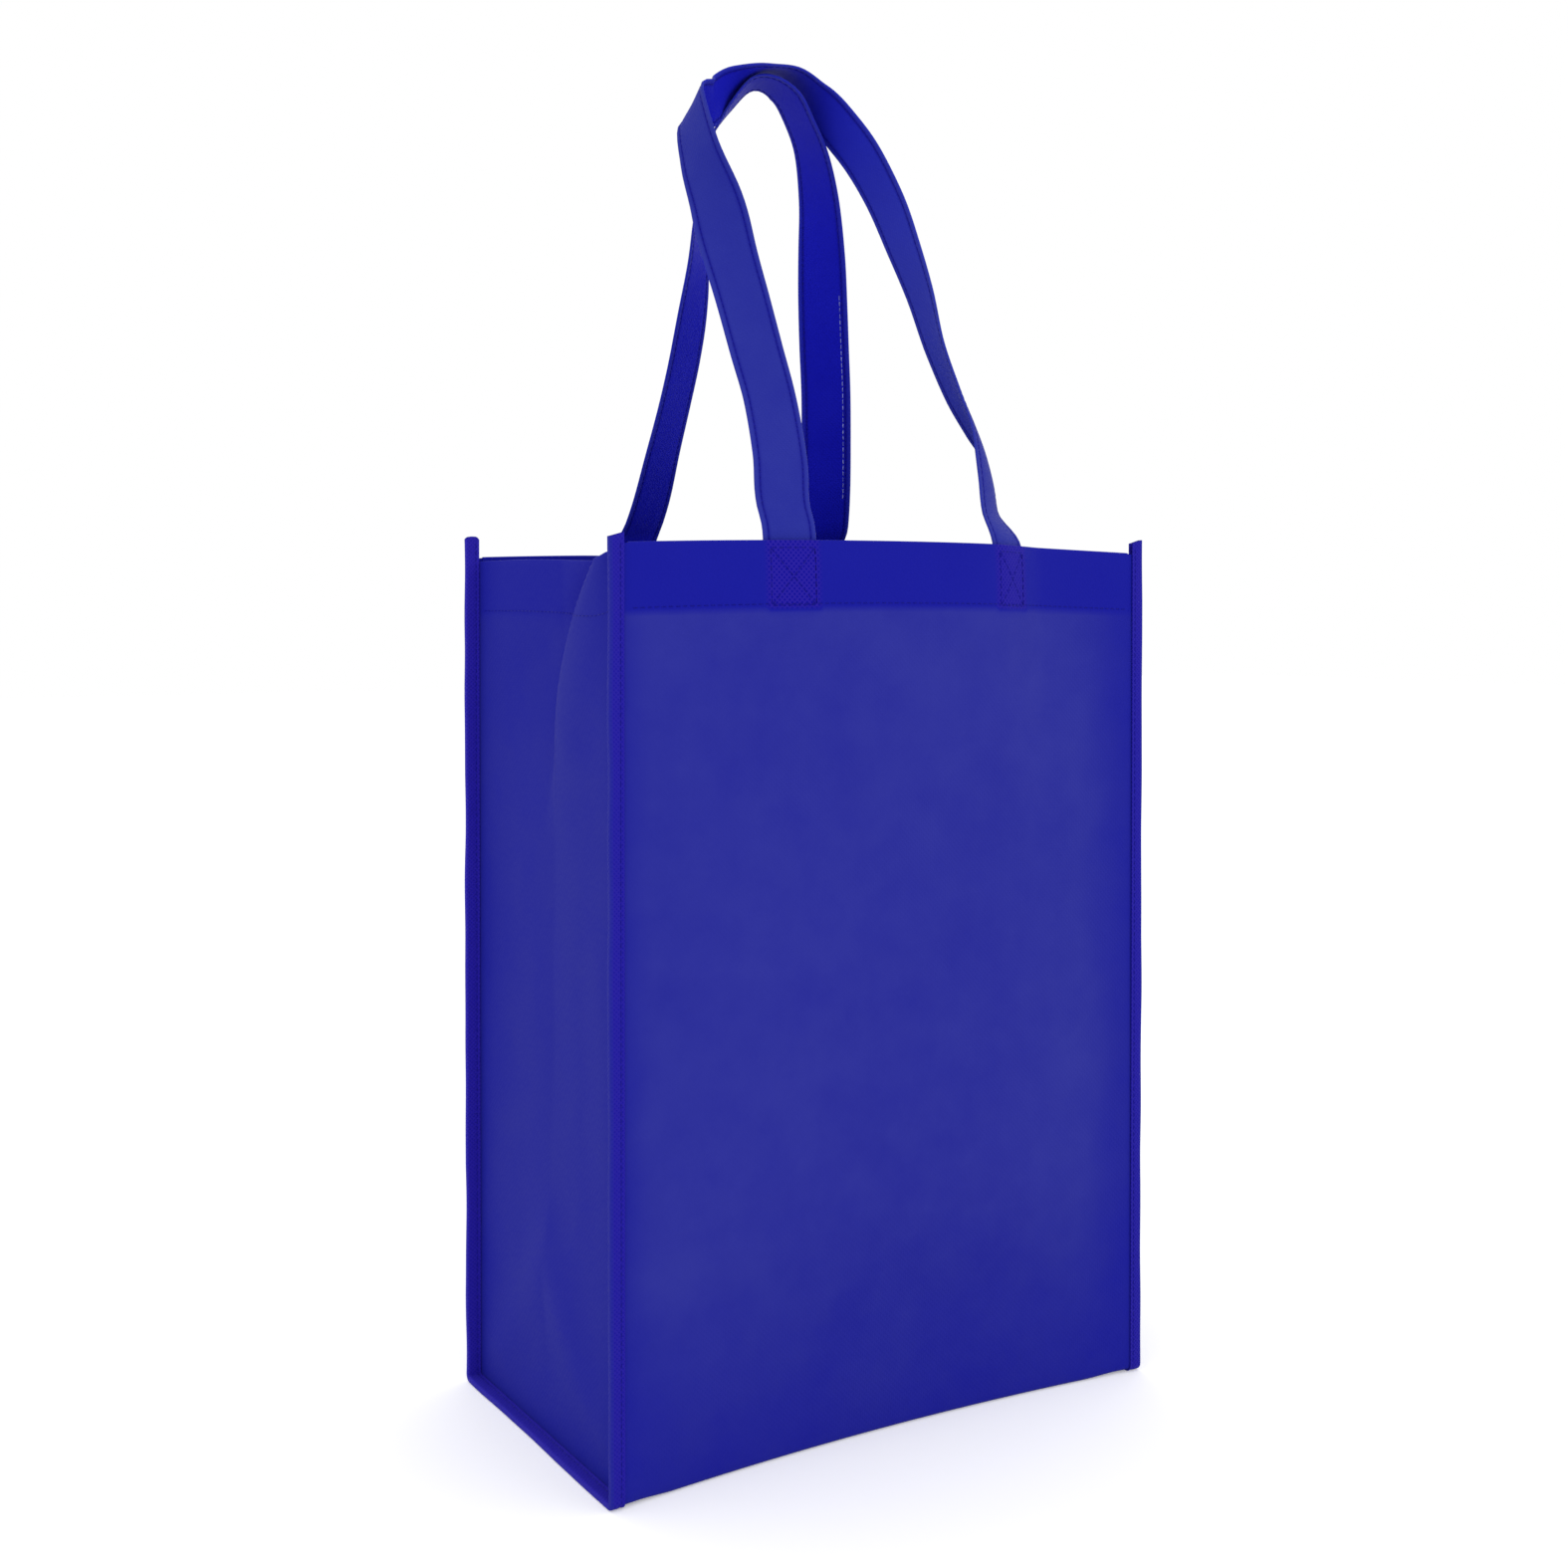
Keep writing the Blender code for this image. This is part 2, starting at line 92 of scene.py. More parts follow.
# How the soft panels stand: positive values push a panel outwards
BACK_LOWER = 0.002
GUSSET_LOWER = 0.004
TOP_BOW = 0.0025
BELLY = 0.007
TOE = -0.008
WAVE_DEPTH = 0.0105
TOP_WAVE = ((-1.0, 0.0), (-0.7, 0.25), (-0.42, 0.51), (0.0, 0.86), (0.26, 1.0), (0.38, 0.86),
            (0.49, 0.33), (0.6, -0.19), (0.78, -0.24), (1.0, 0.0))
GUSSET_DIP = 0.0025
LIP_CLIMB = 0.003
GUSSET_RIDGE = 0.005
GUSSET_VALLEY = 0.006
RIDGE_TOP = -0.79
RIDGE_TRAVEL = 0.78
RIDGE_FALL = 0.045
RIDGE_LENGTH = 0.125
RIDGE_FULL = 0.045
GUSSET_CREASE = 0.0035
GUSSET_FOOT = 0.002
FOOT_REACH = 0.022
SEAM_GRIP = 0.024
BASE_SAG_MARGIN = 0.012

# The side panels' hems as a share of the front's, the tapes' ends above the mouth, how far
# the back handle hangs lower and both stand to the right, and where its needle holes show
GUSSET_HEM = 0.88
TAPE_STANDS = {-1.0: (0.0035, 0.010), 1.0: (0.006, 0.0095)}
TIP_SLANT = 0.28
TIP_ROUND = 0.0014
BACK_DROP = 0.005
STRAP_SHIFT = 0.0015
NEEDLE_HOLES = (0.03, 0.128)

# The stage
FLOOR_Z = -0.0002
WHITE = (1.0, 1.0, 1.0, 1.0)

# Stations of each handle from its left end over the arch to its right end: place across in
# half spacings, distance from the mid plane as a share of the half depth, height as a share
# of the rise, the turn and the tilt of the strap's width, and how far its middle cups
# outwards between its edges, all three in degrees
FRONT_STATIONS = (
    (-1.04, 1.05, 0, -3, 0, 0), (-1.045, 0.97, 0.08, -6, 0, 0),
    (-0.985, 0.87, 0.165, -8, 0, 0), (-0.95, 0.72, 0.28, -9, 0, 0),
    (-0.99, 0.62, 0.38, -12, 0, 0), (-1.035, 0.52, 0.485, -15, 0, 0),
    (-1.08, 0.41, 0.59, -24, 0, 0), (-1.12, 0.325, 0.685, -50, 5, 0),
    (-1.2, 0.235, 0.785, -74, 18, 0), (-1.19, 0.125, 0.89, -90, 32, 0),
    (-0.97, 0.06, 0.91, -126, 39, 0), (-0.74, 0, 0.955, -126, 20, 0),
    (-0.49, 0.01, 0.995, -107, 0, 0), (-0.23, 0.035, 1, -91, -3, 0),
    (0, 0.05, 0.96, -79, -3, 0), (0.18, 0.115, 0.9, -72, 0, 0),
    (0.35, 0.2, 0.83, -76, 0, 0), (0.51, 0.285, 0.735, -83, 0, 0),
    (0.6, 0.39, 0.63, -90, 0, 0), (0.675, 0.48, 0.53, -98, 0, 5),
    (0.73, 0.57, 0.42, -106, 0, 12), (0.81, 0.67, 0.32, -110, 0, 19),
    (0.885, 0.76, 0.245, -118, 0, 23), (0.925, 0.815, 0.195, -131, 0, 24),
    (0.93, 0.88, 0.135, -140, 0, 20), (0.92, 0.93, 0.075, -143, 0, 12),
    (0.96, 0.975, 0, -148, 0, 0),
)
BACK_STATIONS = (
    (-0.87, 1.1, 0, 16, 0, 0), (-0.83, 0.93, 0.105, 19, 0, 0),
    (-0.82, 0.775, 0.215, 24, 0, 0), (-0.78, 0.67, 0.32, 27, 0, 0),
    (-0.75, 0.575, 0.42, 28, 0, 0), (-0.75, 0.47, 0.52, 31, 0, 0),
    (-0.765, 0.38, 0.62, 40, 3, 0), (-0.8, 0.325, 0.735, 56, 9, 0),
    (-0.765, 0.256, 0.872, 66, 7, 0), (-0.612, 0.13, 0.962, 64, 2, 0),
    (-0.447, 0.07, 1.006, 64, 0, 0), (-0.24, 0.01, 0.985, 73, -8, 0),
    (-0.04, 0.06, 0.935, 81, -5, 0), (0.135, 0.12, 0.87, 91, -3, 0),
    (0.29, 0.22, 0.78, 105, -2, 0), (0.4, 0.32, 0.675, 121, 0, 0),
    (0.51, 0.435, 0.575, 132, 0, 0), (0.615, 0.54, 0.475, 138, 0, 0),
    (0.715, 0.635, 0.375, 140, 0, 0), (0.805, 0.735, 0.265, 145, 0, 0),
    (0.89, 0.835, 0.15, 154, 0, 0), (0.975, 0.95, 0.05, 168, 0, 0),
    (1.01, 1.04, 0, 176, 0, 0),
)


def length(name, metres, words):
    """A length property."""
    return bpy.props.FloatProperty(name=name, description=words, default=metres,
                                   min=0.0, precision=4, unit='LENGTH')


def dye(name, colour, words):
    """A colour property."""
    return bpy.props.FloatVectorProperty(name=name, description=words, default=colour,
                                         min=0.0, max=1.0, size=3, subtype='COLOR')


class BagSizes(bpy.types.PropertyGroup):
    """Sizes of the bag as it is cut and sewn."""
    width: length("Width", 0.26, "Distance between the side seams")
    depth: length("Depth", 0.15, "Distance between the front and back seams")
    height: length("Height", 0.38, "Height of the front hem at the side seams")
    cloth: length("Cloth", 0.0005, "Thickness of the panels")
    hem: length("Hem", 0.028, "Depth of the hem round the mouth")
    seam: length("Seam", 0.006, "Width of the seam allowance inside the tape")
    strap_width: length("Strap width", 0.0245, "Width of the folded strap")
    strap_thickness: length("Strap thickness", 0.001, "Thickness of the folded strap")
    strap_spacing: length("Strap spacing", 0.111, "Distance between the two ends of a handle")
    strap_rise: length("Strap rise", 0.2155, "Height of the front handle above the hem")
    stitch: length("Stitch", 0.003, "Pitch of the machine stitches")
    thread: length("Thread", 0.00036, "Diameter of the sewing thread")


class BagColours(bpy.types.PropertyGroup):
    """Colours of the dyed cloth and thread, and of the light and shade painted on them."""
    cloth: dye("Cloth", (0.0215, 0.0245, 0.305), "One layer of cloth")
    doubled: dye("Doubled cloth", (0.0065, 0.008, 0.31), "The hems, where two layers lie together")
    sewn: dye("Sewn layers", (0.015, 0.008, 0.315), "Where the strap ends are sewn under the hems")
    tape: dye("Tape", (0.0175, 0.0105, 0.335), "The binding over the seams")
    # Painted light: a lighter, bluer binding colour for the base and back runs, which lie in shade.
    tape_painted_lighter: dye("Tape behind", (0.026, 0.016, 0.4), "The binding round the base and the back")
    strap: dye("Strap", (0.017, 0.0235, 0.30), "The outer face of the straps")
    # Partly the strap's own inner face, partly painted shade in its low red and green, with its
    # blue raised as painted light.
    strap_inner_painted: dye("Strap inside", (0.005, 0.0065, 0.47), "The inner face of the straps")
    strap_lit: dye("Strap lit", (0.023, 0.033, 0.42), "The inner face where the light falls on it")
    # The thread's dye, darkened below the cloth's: the darkness is painted shade of the sewn
    # dimples.
    thread: dye("Thread", (0.001, 0.001, 0.235), "The sewing thread")
    floor: dye("Floor", (0.9, 0.9, 0.9), "The studio floor")


def sizes():
    """The bag's sizes."""
    return bpy.context.scene.carrier_bag_sizes


def colours():
    """The bag's colours."""
    return bpy.context.scene.carrier_bag_colours


def smooth(value, low, high):
    """Rise gently from 0 at low to 1 at high."""
    t = np.clip((value - low) / (high - low), 0.0, 1.0)
    return t * t * (3.0 - 2.0 * t)


def through(points, steps=12):
    """Many places on a Catmull-Rom curve through some points, span by span."""
    points = np.array(points, float)
    fine = []
    for i in range(len(points) - 1):
        before, start, end = points[max(i - 1, 0)], points[i], points[i + 1]
        after = points[min(i + 2, len(points) - 1)]
        for t in np.arange(steps) / steps:
            fine.append(0.5 * (2 * start + (end - before) * t
                               + (2 * before - 5 * start + 4 * end - after) * t ** 2
                               + (3 * start - before - 3 * end + after) * t ** 3))
    fine.append(points[-1])
    return np.array(fine)


def wave_table():
    """The mouth's wave as places across and heights, for reading between."""
    places = np.interp(np.arange(0, 9.001, 1 / 12), np.arange(10), [p for p, h in TOP_WAVE])
    return places, through([(h,) for p, h in TOP_WAVE])[:, 0]


WAVE_PLACES, WAVE_HEIGHTS = wave_table()


def cloudy(x, z, seed, size):
    """Soft uneven rise and fall of cloth, between about -1 and 1, at places in metres."""
    x, z = np.broadcast_arrays(x, z)
    read = np.vectorize(lambda a, b: noise.noise((a / size, b / size, seed)), otypes=[float])
    return read(x, z)


def across(x):
    """Place across the bag, from -1 at the left seam to 1 at the right seam."""
    return np.clip(x / (sizes().width / 2), -1.0, 1.0)


def panel_top(back):
    """Height of a panel's folded edge at its side seams."""
    return sizes().height - (BACK_LOWER if back else 0.0)


def panel_height(x, back):
    """Height of a panel's folded edge, which bows up between the handles."""
    return panel_top(back) + TOP_BOW * (1.0 - across(x) ** 2)


def panel_out(x, z, back):
    """How far a panel stands outside the plane of its seams at a place on it."""
    place = across(x)
    span = 1.0 - place ** 2
    rise = np.clip(z / panel_top(back), 0.0, 1.0)
    belly = BELLY * span * np.clip(np.sin(np.pi * rise), 0.0, 1.0) ** 0.7
    toe = TOE * span * (1.0 - smooth(rise, 0.0, 0.3))
    wave = np.interp(-place if back else place, WAVE_PLACES, WAVE_HEIGHTS)
    ripple = 0.0011 * cloudy(x, z, 3.7 if back else 1.3, 0.055) + 0.0005 * cloudy(x, z, 8.1, 0.022)
    held = smooth(span, 0.0, 0.25) * smooth(rise, 0.0, 0.08) * (1.0 - smooth(rise, 0.86, 0.95))
    return belly + toe + WAVE_DEPTH * wave * smooth(rise, 0.62, 1.0) + ripple * held


def panel_y(x, z, back, inside=0.0):
    """Middle of a panel's cloth, or a surface parallel to it that much further inside."""
    distance = sizes().depth / 2 + panel_out(x, z, back) - inside
    return distance if back else -distance


def layer():
    """Distance between the middles of two layers of cloth."""
    return sizes().cloth + CLEARANCE


def base_z(x):
    """Middle of the base's cloth, which rests on the floor away from the bound seams."""
    half = sizes().width / 2
    lift = smooth(np.abs(x), half - 2 * BASE_SAG_MARGIN, half - BASE_SAG_MARGIN / 2)
    return sizes().cloth / 2 + (TAPE + CLEARANCE) * lift


def fold_turn():
    """Angles round a folded edge of cloth, between its two layers."""
    return np.linspace(0.0, math.pi, FOLD_STEPS)[1:-1, None]


def corners(mesh):
    """Places of a mesh's corners."""
    places = np.empty(len(mesh.vertices) * 3)
    mesh.vertices.foreach_get("co", places)
    return places.reshape(-1, 3)


def only(thing):
    """Select one object and make it active."""
    bpy.ops.object.select_all(action='DESELECT')
    thing.select_set(True)
    bpy.context.view_layer.objects.active = thing


def lay_grid(name, columns, rows, place, cut):
    """Add a grid of cloth and lay its corners out.

    place gives a corner's x, y and z from its column and row, and cut its flat place on the
    cloth before sewing, which becomes the cloth's own map.
    """
    bpy.ops.object.select_all(action='DESELECT')
    bpy.ops.mesh.primitive_grid_add(x_subdivisions=columns, y_subdivisions=rows, size=1.0)
    cloth = bpy.context.object
    cloth.name = cloth.data.name = name
    mesh = cloth.data
    flat = corners(mesh)
    column = np.rint((flat[:, 0] + 0.5) * columns).astype(int)
    row = np.rint((flat[:, 1] + 0.5) * rows).astype(int)
    mesh.vertices.foreach_set("co", np.stack(place(column, row), -1).ravel())
    corner = np.empty(len(mesh.loops), int)
    mesh.loops.foreach_get("vertex_index", corner)
    flat_map = np.stack(cut(column, row), -1)
    mesh.uv_layers[0].name = "cut"
    mesh.uv_layers[0].data.foreach_set("uv", flat_map[corner].ravel())
    mesh.update()
    return cloth, column, row


def mark(cloth, name, values):
    """Store one number for each corner of the cloth."""
    mark_layer = cloth.data.attributes.new(name, 'FLOAT', 'POINT')
    mark_layer.data.foreach_set("value", np.asarray(values, np.float32))


def trim(cloth, spare):
    """Cut away the faces whose corners are all in a set of spare corners."""
    only(cloth)
    faces = cloth.data.polygons
    chosen = np.array([all(spare[v] for v in face.vertices) for face in faces])
    cloth.data.vertices.foreach_set("select", np.zeros(len(cloth.data.vertices), bool))
    cloth.data.edges.foreach_set("select", np.zeros(len(cloth.data.edges), bool))
    faces.foreach_set("select", chosen)
    bpy.context.tool_settings.mesh_select_mode = (False, False, True)
    bpy.ops.object.mode_set(mode='EDIT')
    bpy.ops.mesh.delete(type='FACE')
    bpy.ops.object.mode_set(mode='OBJECT')


def weld(cloth):
    """Join corners that lie together, and turn all faces the same way."""
    only(cloth)
    bpy.ops.object.mode_set(mode='EDIT')
    bpy.ops.mesh.select_all(action='SELECT')
    bpy.ops.mesh.remove_doubles(threshold=WELD)
    bpy.ops.mesh.normals_make_consistent(inside=False)
    bpy.ops.object.mode_set(mode='OBJECT')


def thicken(cloth, thickness):
    """Give an open cloth its thickness, evenly to both sides."""
    only(cloth)
    bpy.ops.object.modifier_add(type='SOLIDIFY')
    wall = cloth.modifiers[-1]
    wall.thickness = thickness
    wall.offset = 0.0
    wall.use_even_offset = True
    bpy.ops.object.modifier_apply(modifier=wall.name)


def finish_piece(piece, finish, slot, *nodes):
    """Shade a piece, fix it to the bag and let it stand for its solids."""
    only(piece)
    bpy.ops.object.shade_smooth_by_angle(angle=math.radians(50.0))
    piece.data.materials.clear()
    piece.data.materials.append(finish)
    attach(piece, "root")
    if nodes:
        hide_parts(*nodes)
    return piece


class Finish:
    """Node work on one dyed finish."""

    def __init__(self, name, roughness, sheen, gloss=0.12):
        self.material = bpy.data.materials.new(name)
        self.material.use_nodes = True
        self.tree = self.material.node_tree
        self.shader = self.tree.nodes["Principled BSDF"]
        self.shader.inputs["Roughness"].default_value = roughness
        self.shader.inputs["Specular IOR Level"].default_value = gloss
        self.shader.inputs["Sheen Weight"].default_value = sheen
        self.shader.inputs["Sheen Roughness"].default_value = 0.6
        self.shader.inputs["Sheen Tint"].default_value = (0.55, 0.62, 1.0, 1.0)
        self.where = self.add("ShaderNodeTexCoord")

    def add(self, kind, links=(), **settings):
        """Add a node, with its settings and what flows into it."""
        node = self.tree.nodes.new(kind)
        for name, value in settings.items():
            if name in node.inputs:
                node.inputs[name].default_value = value
            else:
                setattr(node, name, value)
        for socket, source in links:
            self.tree.links.new(source, node.inputs[socket])
        return node

    def send(self, source, socket):
        """Lead a value to the shader."""
        self.tree.links.new(source, self.shader.inputs[socket])

    def marked(self, name):
        """Read a number that is stored at the cloth's corners."""
        return self.add("ShaderNodeAttribute", attribute_name=name).outputs["Fac"]

    def on_cloth(self, scale, turn):
        """Scaled and turned places on the flat cloth."""
        return self.add("ShaderNodeMapping", [("Vector", self.where.outputs["UV"])],
                        Scale=scale, Rotation=(0.0, 0.0, turn)).outputs[0]

    def between(self, share, low, high):
        """Mix two colours by a share."""
        node = self.add("ShaderNodeMix", data_type='RGBA')
        self.tree.links.new(share, node.inputs["Factor"])
        for socket, colour in (("A", low), ("B", high)):
            slot = [i for i in node.inputs if i.name == socket and i.type == 'RGBA'][0]
            if isinstance(colour, bpy.types.NodeSocket):
                self.tree.links.new(colour, slot)
            else:
                slot.default_value = (*colour, 1.0)
        return [o for o in node.outputs if o.type == 'RGBA'][0]

    def shades(self, share, colour, low, high):
        """Mix two shades of one dye by a share."""
        return self.between(share, tinted(colour, low), tinted(colour, high))

    def ramp(self, source, low, high, to_low=0.0, to_high=1.0):
        """Stretch a range of values over another range."""
        node = self.add("ShaderNodeMapRange", [("Value", source)])
        for name, value in zip(("From Min", "From Max", "To Min", "To Max"),
                               (low, high, to_low, to_high)):
            node.inputs[name].default_value = value
        return node.outputs[0]

    def bonded(self, pitch, depth):
        """Relief of bonded fibre: rows of pressed points, and fine fibres over them."""
        rows = self.on_cloth((1 / pitch, 1 / pitch, 1.0), math.pi / 4)
        dots = self.add("ShaderNodeTexVoronoi", [("Vector", rows)], voronoi_dimensions='2D',
                        Scale=1.0, Randomness=0.0)
        pressed = self.ramp(dots.outputs["Distance"], 0.18, 0.42)
        combed = self.on_cloth((1.0, 0.35, 1.0), 0.5)
        hairs = self.add("ShaderNodeTexNoise", [("Vector", combed)],
                         Scale=1400.0, Detail=3.0, Roughness=0.6).outputs[0]
        dents = self.add("ShaderNodeBump", [("Height", pressed)], Strength=depth, Distance=0.00015)
        nap = self.add("ShaderNodeBump", [("Height", hairs), ("Normal", dents.outputs[0])],
                       Strength=0.25, Distance=0.00012)
        self.send(nap.outputs[0], "Normal")
        self.send(self.ramp(hairs, 0.3, 0.7, 0.52, 0.72), "Roughness")
        return pressed

    def clouds(self, size, seed):
        """Uneven spread of the fibres, from 0 to 1."""
        spread = self.add("ShaderNodeTexNoise", [("Vector", self.where.outputs["Object"])],
                          noise_dimensions='4D', Scale=1 / size, Detail=5.0, Roughness=0.55,
                          W=seed)
        return self.ramp(spread.outputs[0], 0.3, 0.7)

    def paint(self, colour):
        """Give the shader its colour, which completes the finish."""
        self.send(colour, "Base Color")
        return self.material


def tinted(colour, share):
    """A lighter or darker shade of a dye, which changes its red and green the most."""
    red, green, blue = colour
    return red * share, green * share, blue * (1.0 + (share - 1.0) * 0.12)


def panel_finish(name, seed):
    """Non-woven cloth: one layer is lighter than the doubled hems and the sewn strap ends. The
    single layer carries painted light and shade, and the left gusset's hem a painted shadow in its
    hollow.
    """
    finish = Finish(name, 0.62, 0.03, 0.05)
    dyes = colours()
    patchy = finish.ramp(finish.clouds(0.009, seed + 3.0), 0.0, 1.0, 0.25, 0.55)
    cloud = finish.between(patchy, finish.clouds(0.11, seed), finish.clouds(0.02, seed + 7.0))
    # Painted light and shade: a mark stored on the panels mixes the single layer between a painted
    # shaded colour and a painted lit colour.
    painted_shade_cloth = finish.between(cloud, dyes.doubled, tinted(dyes.cloth, 0.65))
    painted_lit_cloth = finish.shades(cloud, dyes.cloth, 0.72, 1.36)
    single = finish.between(finish.marked("painted_light"), painted_shade_cloth, painted_lit_cloth)
    layers = finish.marked("layers")
    hemmed = finish.between(finish.ramp(layers, 0.0, 1.0), single,
                            finish.shades(cloud, dyes.doubled, 0.9, 1.1))
    # Painted shadow: a mark on the left gusset darkens its hem nearly to black in the hollow beside
    # its ridge.
    hemmed = finish.between(finish.marked("painted_hollow_shadow"), hemmed, tinted(dyes.doubled, 0.1))
    sewn = finish.shades(finish.bonded(0.0016, 0.14), dyes.sewn, 0.1, 1.25)
    return finish.paint(finish.between(finish.ramp(layers, 1.0, 2.0), hemmed, sewn))


def tape_finish(name, seed):
    """Embossed binding tape, pressed in rows of points, with painted light on its base and back
    runs.
    """
    finish = Finish(name, 0.6, 0.03, 0.06)
    dyes = colours()
    pressed = finish.bonded(0.0013, 0.8)
    dotted = finish.shades(pressed, dyes.tape, 0.5, 1.1)
    folded = finish.between(finish.marked("fold"), dotted, dyes.strap)
    # Painted light lifts the base and back runs of the tape out of their shade.
    behind = finish.shades(pressed, dyes.tape_painted_lighter, 0.6, 1.1)
    tape = finish.between(finish.marked("shaded"), folded, behind)
    cloud = finish.ramp(finish.clouds(0.03, seed), 0.0, 1.0, 0.0, 0.25)
    return finish.paint(finish.between(cloud, tape, dyes.doubled))


def strap_finish(name, seed):
    """Folded strap: its outer face and its two rims are lighter than its inner face, whose colour
    is partly its own and partly painted shade, with its blue raised as painted light. The front
    handle's inner face takes painted light where the light falls on it.
    """
    finish = Finish(name, 0.58, 0.03, 0.08)
    dyes = colours()
    cloud = finish.clouds(0.02, seed)
    outer = finish.shades(cloud, dyes.strap, 0.85, 1.15)
    # Painted shade on the inner face, with its blue raised as painted light.
    inner = finish.shades(cloud, dyes.strap_inner_painted, 0.8, 1.2)
    inner = finish.between(finish.marked("lit"), inner, dyes.strap_lit)
    both = finish.between(finish.marked("face"), inner, outer)
    rim = finish.ramp(finish.marked("rim"), 0.0, 1.0, 0.0, 0.45)
    edged = finish.between(rim, both, tinted(dyes.strap, 1.5))
    finish.bonded(0.0014, 0.3)
    # Painted shade: the stitch lines are darkened to the thread's colour along the sewn grooves.
    return finish.paint(finish.between(finish.marked("seam"), edged, dyes.thread))


def thread_finish():
    """Twisted polyester thread, darkened below the cloth as painted shade of the dimples that it
    sews.
    """
    finish = Finish("sewing_thread", 0.45, 0.0)
    twist = finish.add("ShaderNodeTexWave", [("Vector", finish.where.outputs["Object"])],
                       Scale=900.0, Distortion=0.4).outputs["Fac"]
    strands = finish.add("ShaderNodeBump", [("Height", twist)], Strength=0.3, Distance=0.0001)
    finish.send(strands.outputs[0], "Normal")
    return finish.paint(finish.shades(twist, colours().thread, 0.8, 1.2))


def hole_finish():
    """Painted light: pale daylight in the needle holes beside a seam, on stitch-shaped pieces
    rather than real holes.
    """
    finish = Finish("needle_hole_light", 0.6, 0.0)
    uneven = finish.clouds(0.003, 9.0)
    return finish.paint(finish.between(uneven, (0.03, 0.04, 0.4), (0.5, 0.55, 0.9)))


def stations_of(stations, back):
    """Centre places in metres and three angles in radians along a handle."""
    bag = sizes()
    reach = bag.strap_rise - (BACK_DROP if back else 0.0)
    fine = through(stations, SPAN_STEPS)
    x = STRAP_SHIFT + fine[:, 0] * bag.strap_spacing / 2
    y = fine[:, 1] * bag.depth / 2 * (1.0 if back else -1.0)
    z = bag.height + TOP_BOW + fine[:, 2] * reach
    return np.stack((x, y, z), -1), np.radians(fine[:, 3:])


def unit(vectors):
    """Vectors of length one."""
    return vectors / np.linalg.norm(vectors, axis=-1, keepdims=True)


def strap_middle(stations, back, shares):
    """Middle surface of a strap: rows along it, and columns at shares of its half width."""
    bag = sizes()
    inside = bag.cloth / 2 + layer() + CLEARANCE + STRAP_EASE + bag.strap_thickness / 2
    centre, angles = stations_of(stations, back)
    turn, tilt, cup = angles.T
    along = np.empty_like(centre)
    along[1:-1] = centre[2:] - centre[:-2]
    along[0] = centre[1] - centre[0]
    along[-1] = centre[-1] - centre[-2]
    along = unit(along)
    wide = np.stack((np.cos(tilt) * np.cos(turn), np.cos(tilt) * np.sin(turn), np.sin(tilt)), -1)
    wide = unit(wide - np.sum(wide * along, -1, keepdims=True) * along)
    inward = np.cross(along, wide)
    bend = np.maximum(np.abs(cup), 0.001)[:, None]
    radius = bag.strap_width / (2 * bend)
    turned = bend * shares[None, :]
    bulge = np.copysign(radius * (np.cos(turned) - np.cos(bend)), cup[:, None])
    rows = (centre[:, None, :] + (radius * np.sin(turned))[..., None] * wide[:, None, :]
            - bulge[..., None] * inward[:, None, :])
    x, z = rows[..., 0], rows[..., 2]
    top = panel_height(x, back)
    held = 1.0 - smooth(z, top, top + STRAP_FREE)
    rows[..., 1] += held * (panel_y(x, np.minimum(z, top), back, inside) - rows[..., 1])
    ends = []
    for top_row in (rows[0], rows[-1]):
        drops = np.linspace(STRAP_GRIP, STRAP_OVERLAP, FLAP_ROWS)[:, None]
        x = np.broadcast_to(top_row[:, 0], (FLAP_ROWS, len(shares)))
        z = panel_height(x, back) - drops
        ends.append(np.stack((x, panel_y(x, z, back, inside), z), -1))
    return np.concatenate((ends[0][::-1], rows, ends[1]))


def surface_normals(middle):
    """Unit normals of a grid of points, which point to a strap's outer side."""
    along = np.gradient(middle, axis=0)
    wide = np.gradient(middle, axis=1)
    return unit(-np.cross(along, wide))


def run_length(points):
    """Distance along a line of points at each of them."""
    steps = np.linalg.norm(np.diff(points, axis=0), axis=-1)
    return np.concatenate(([0.0], np.cumsum(steps)))


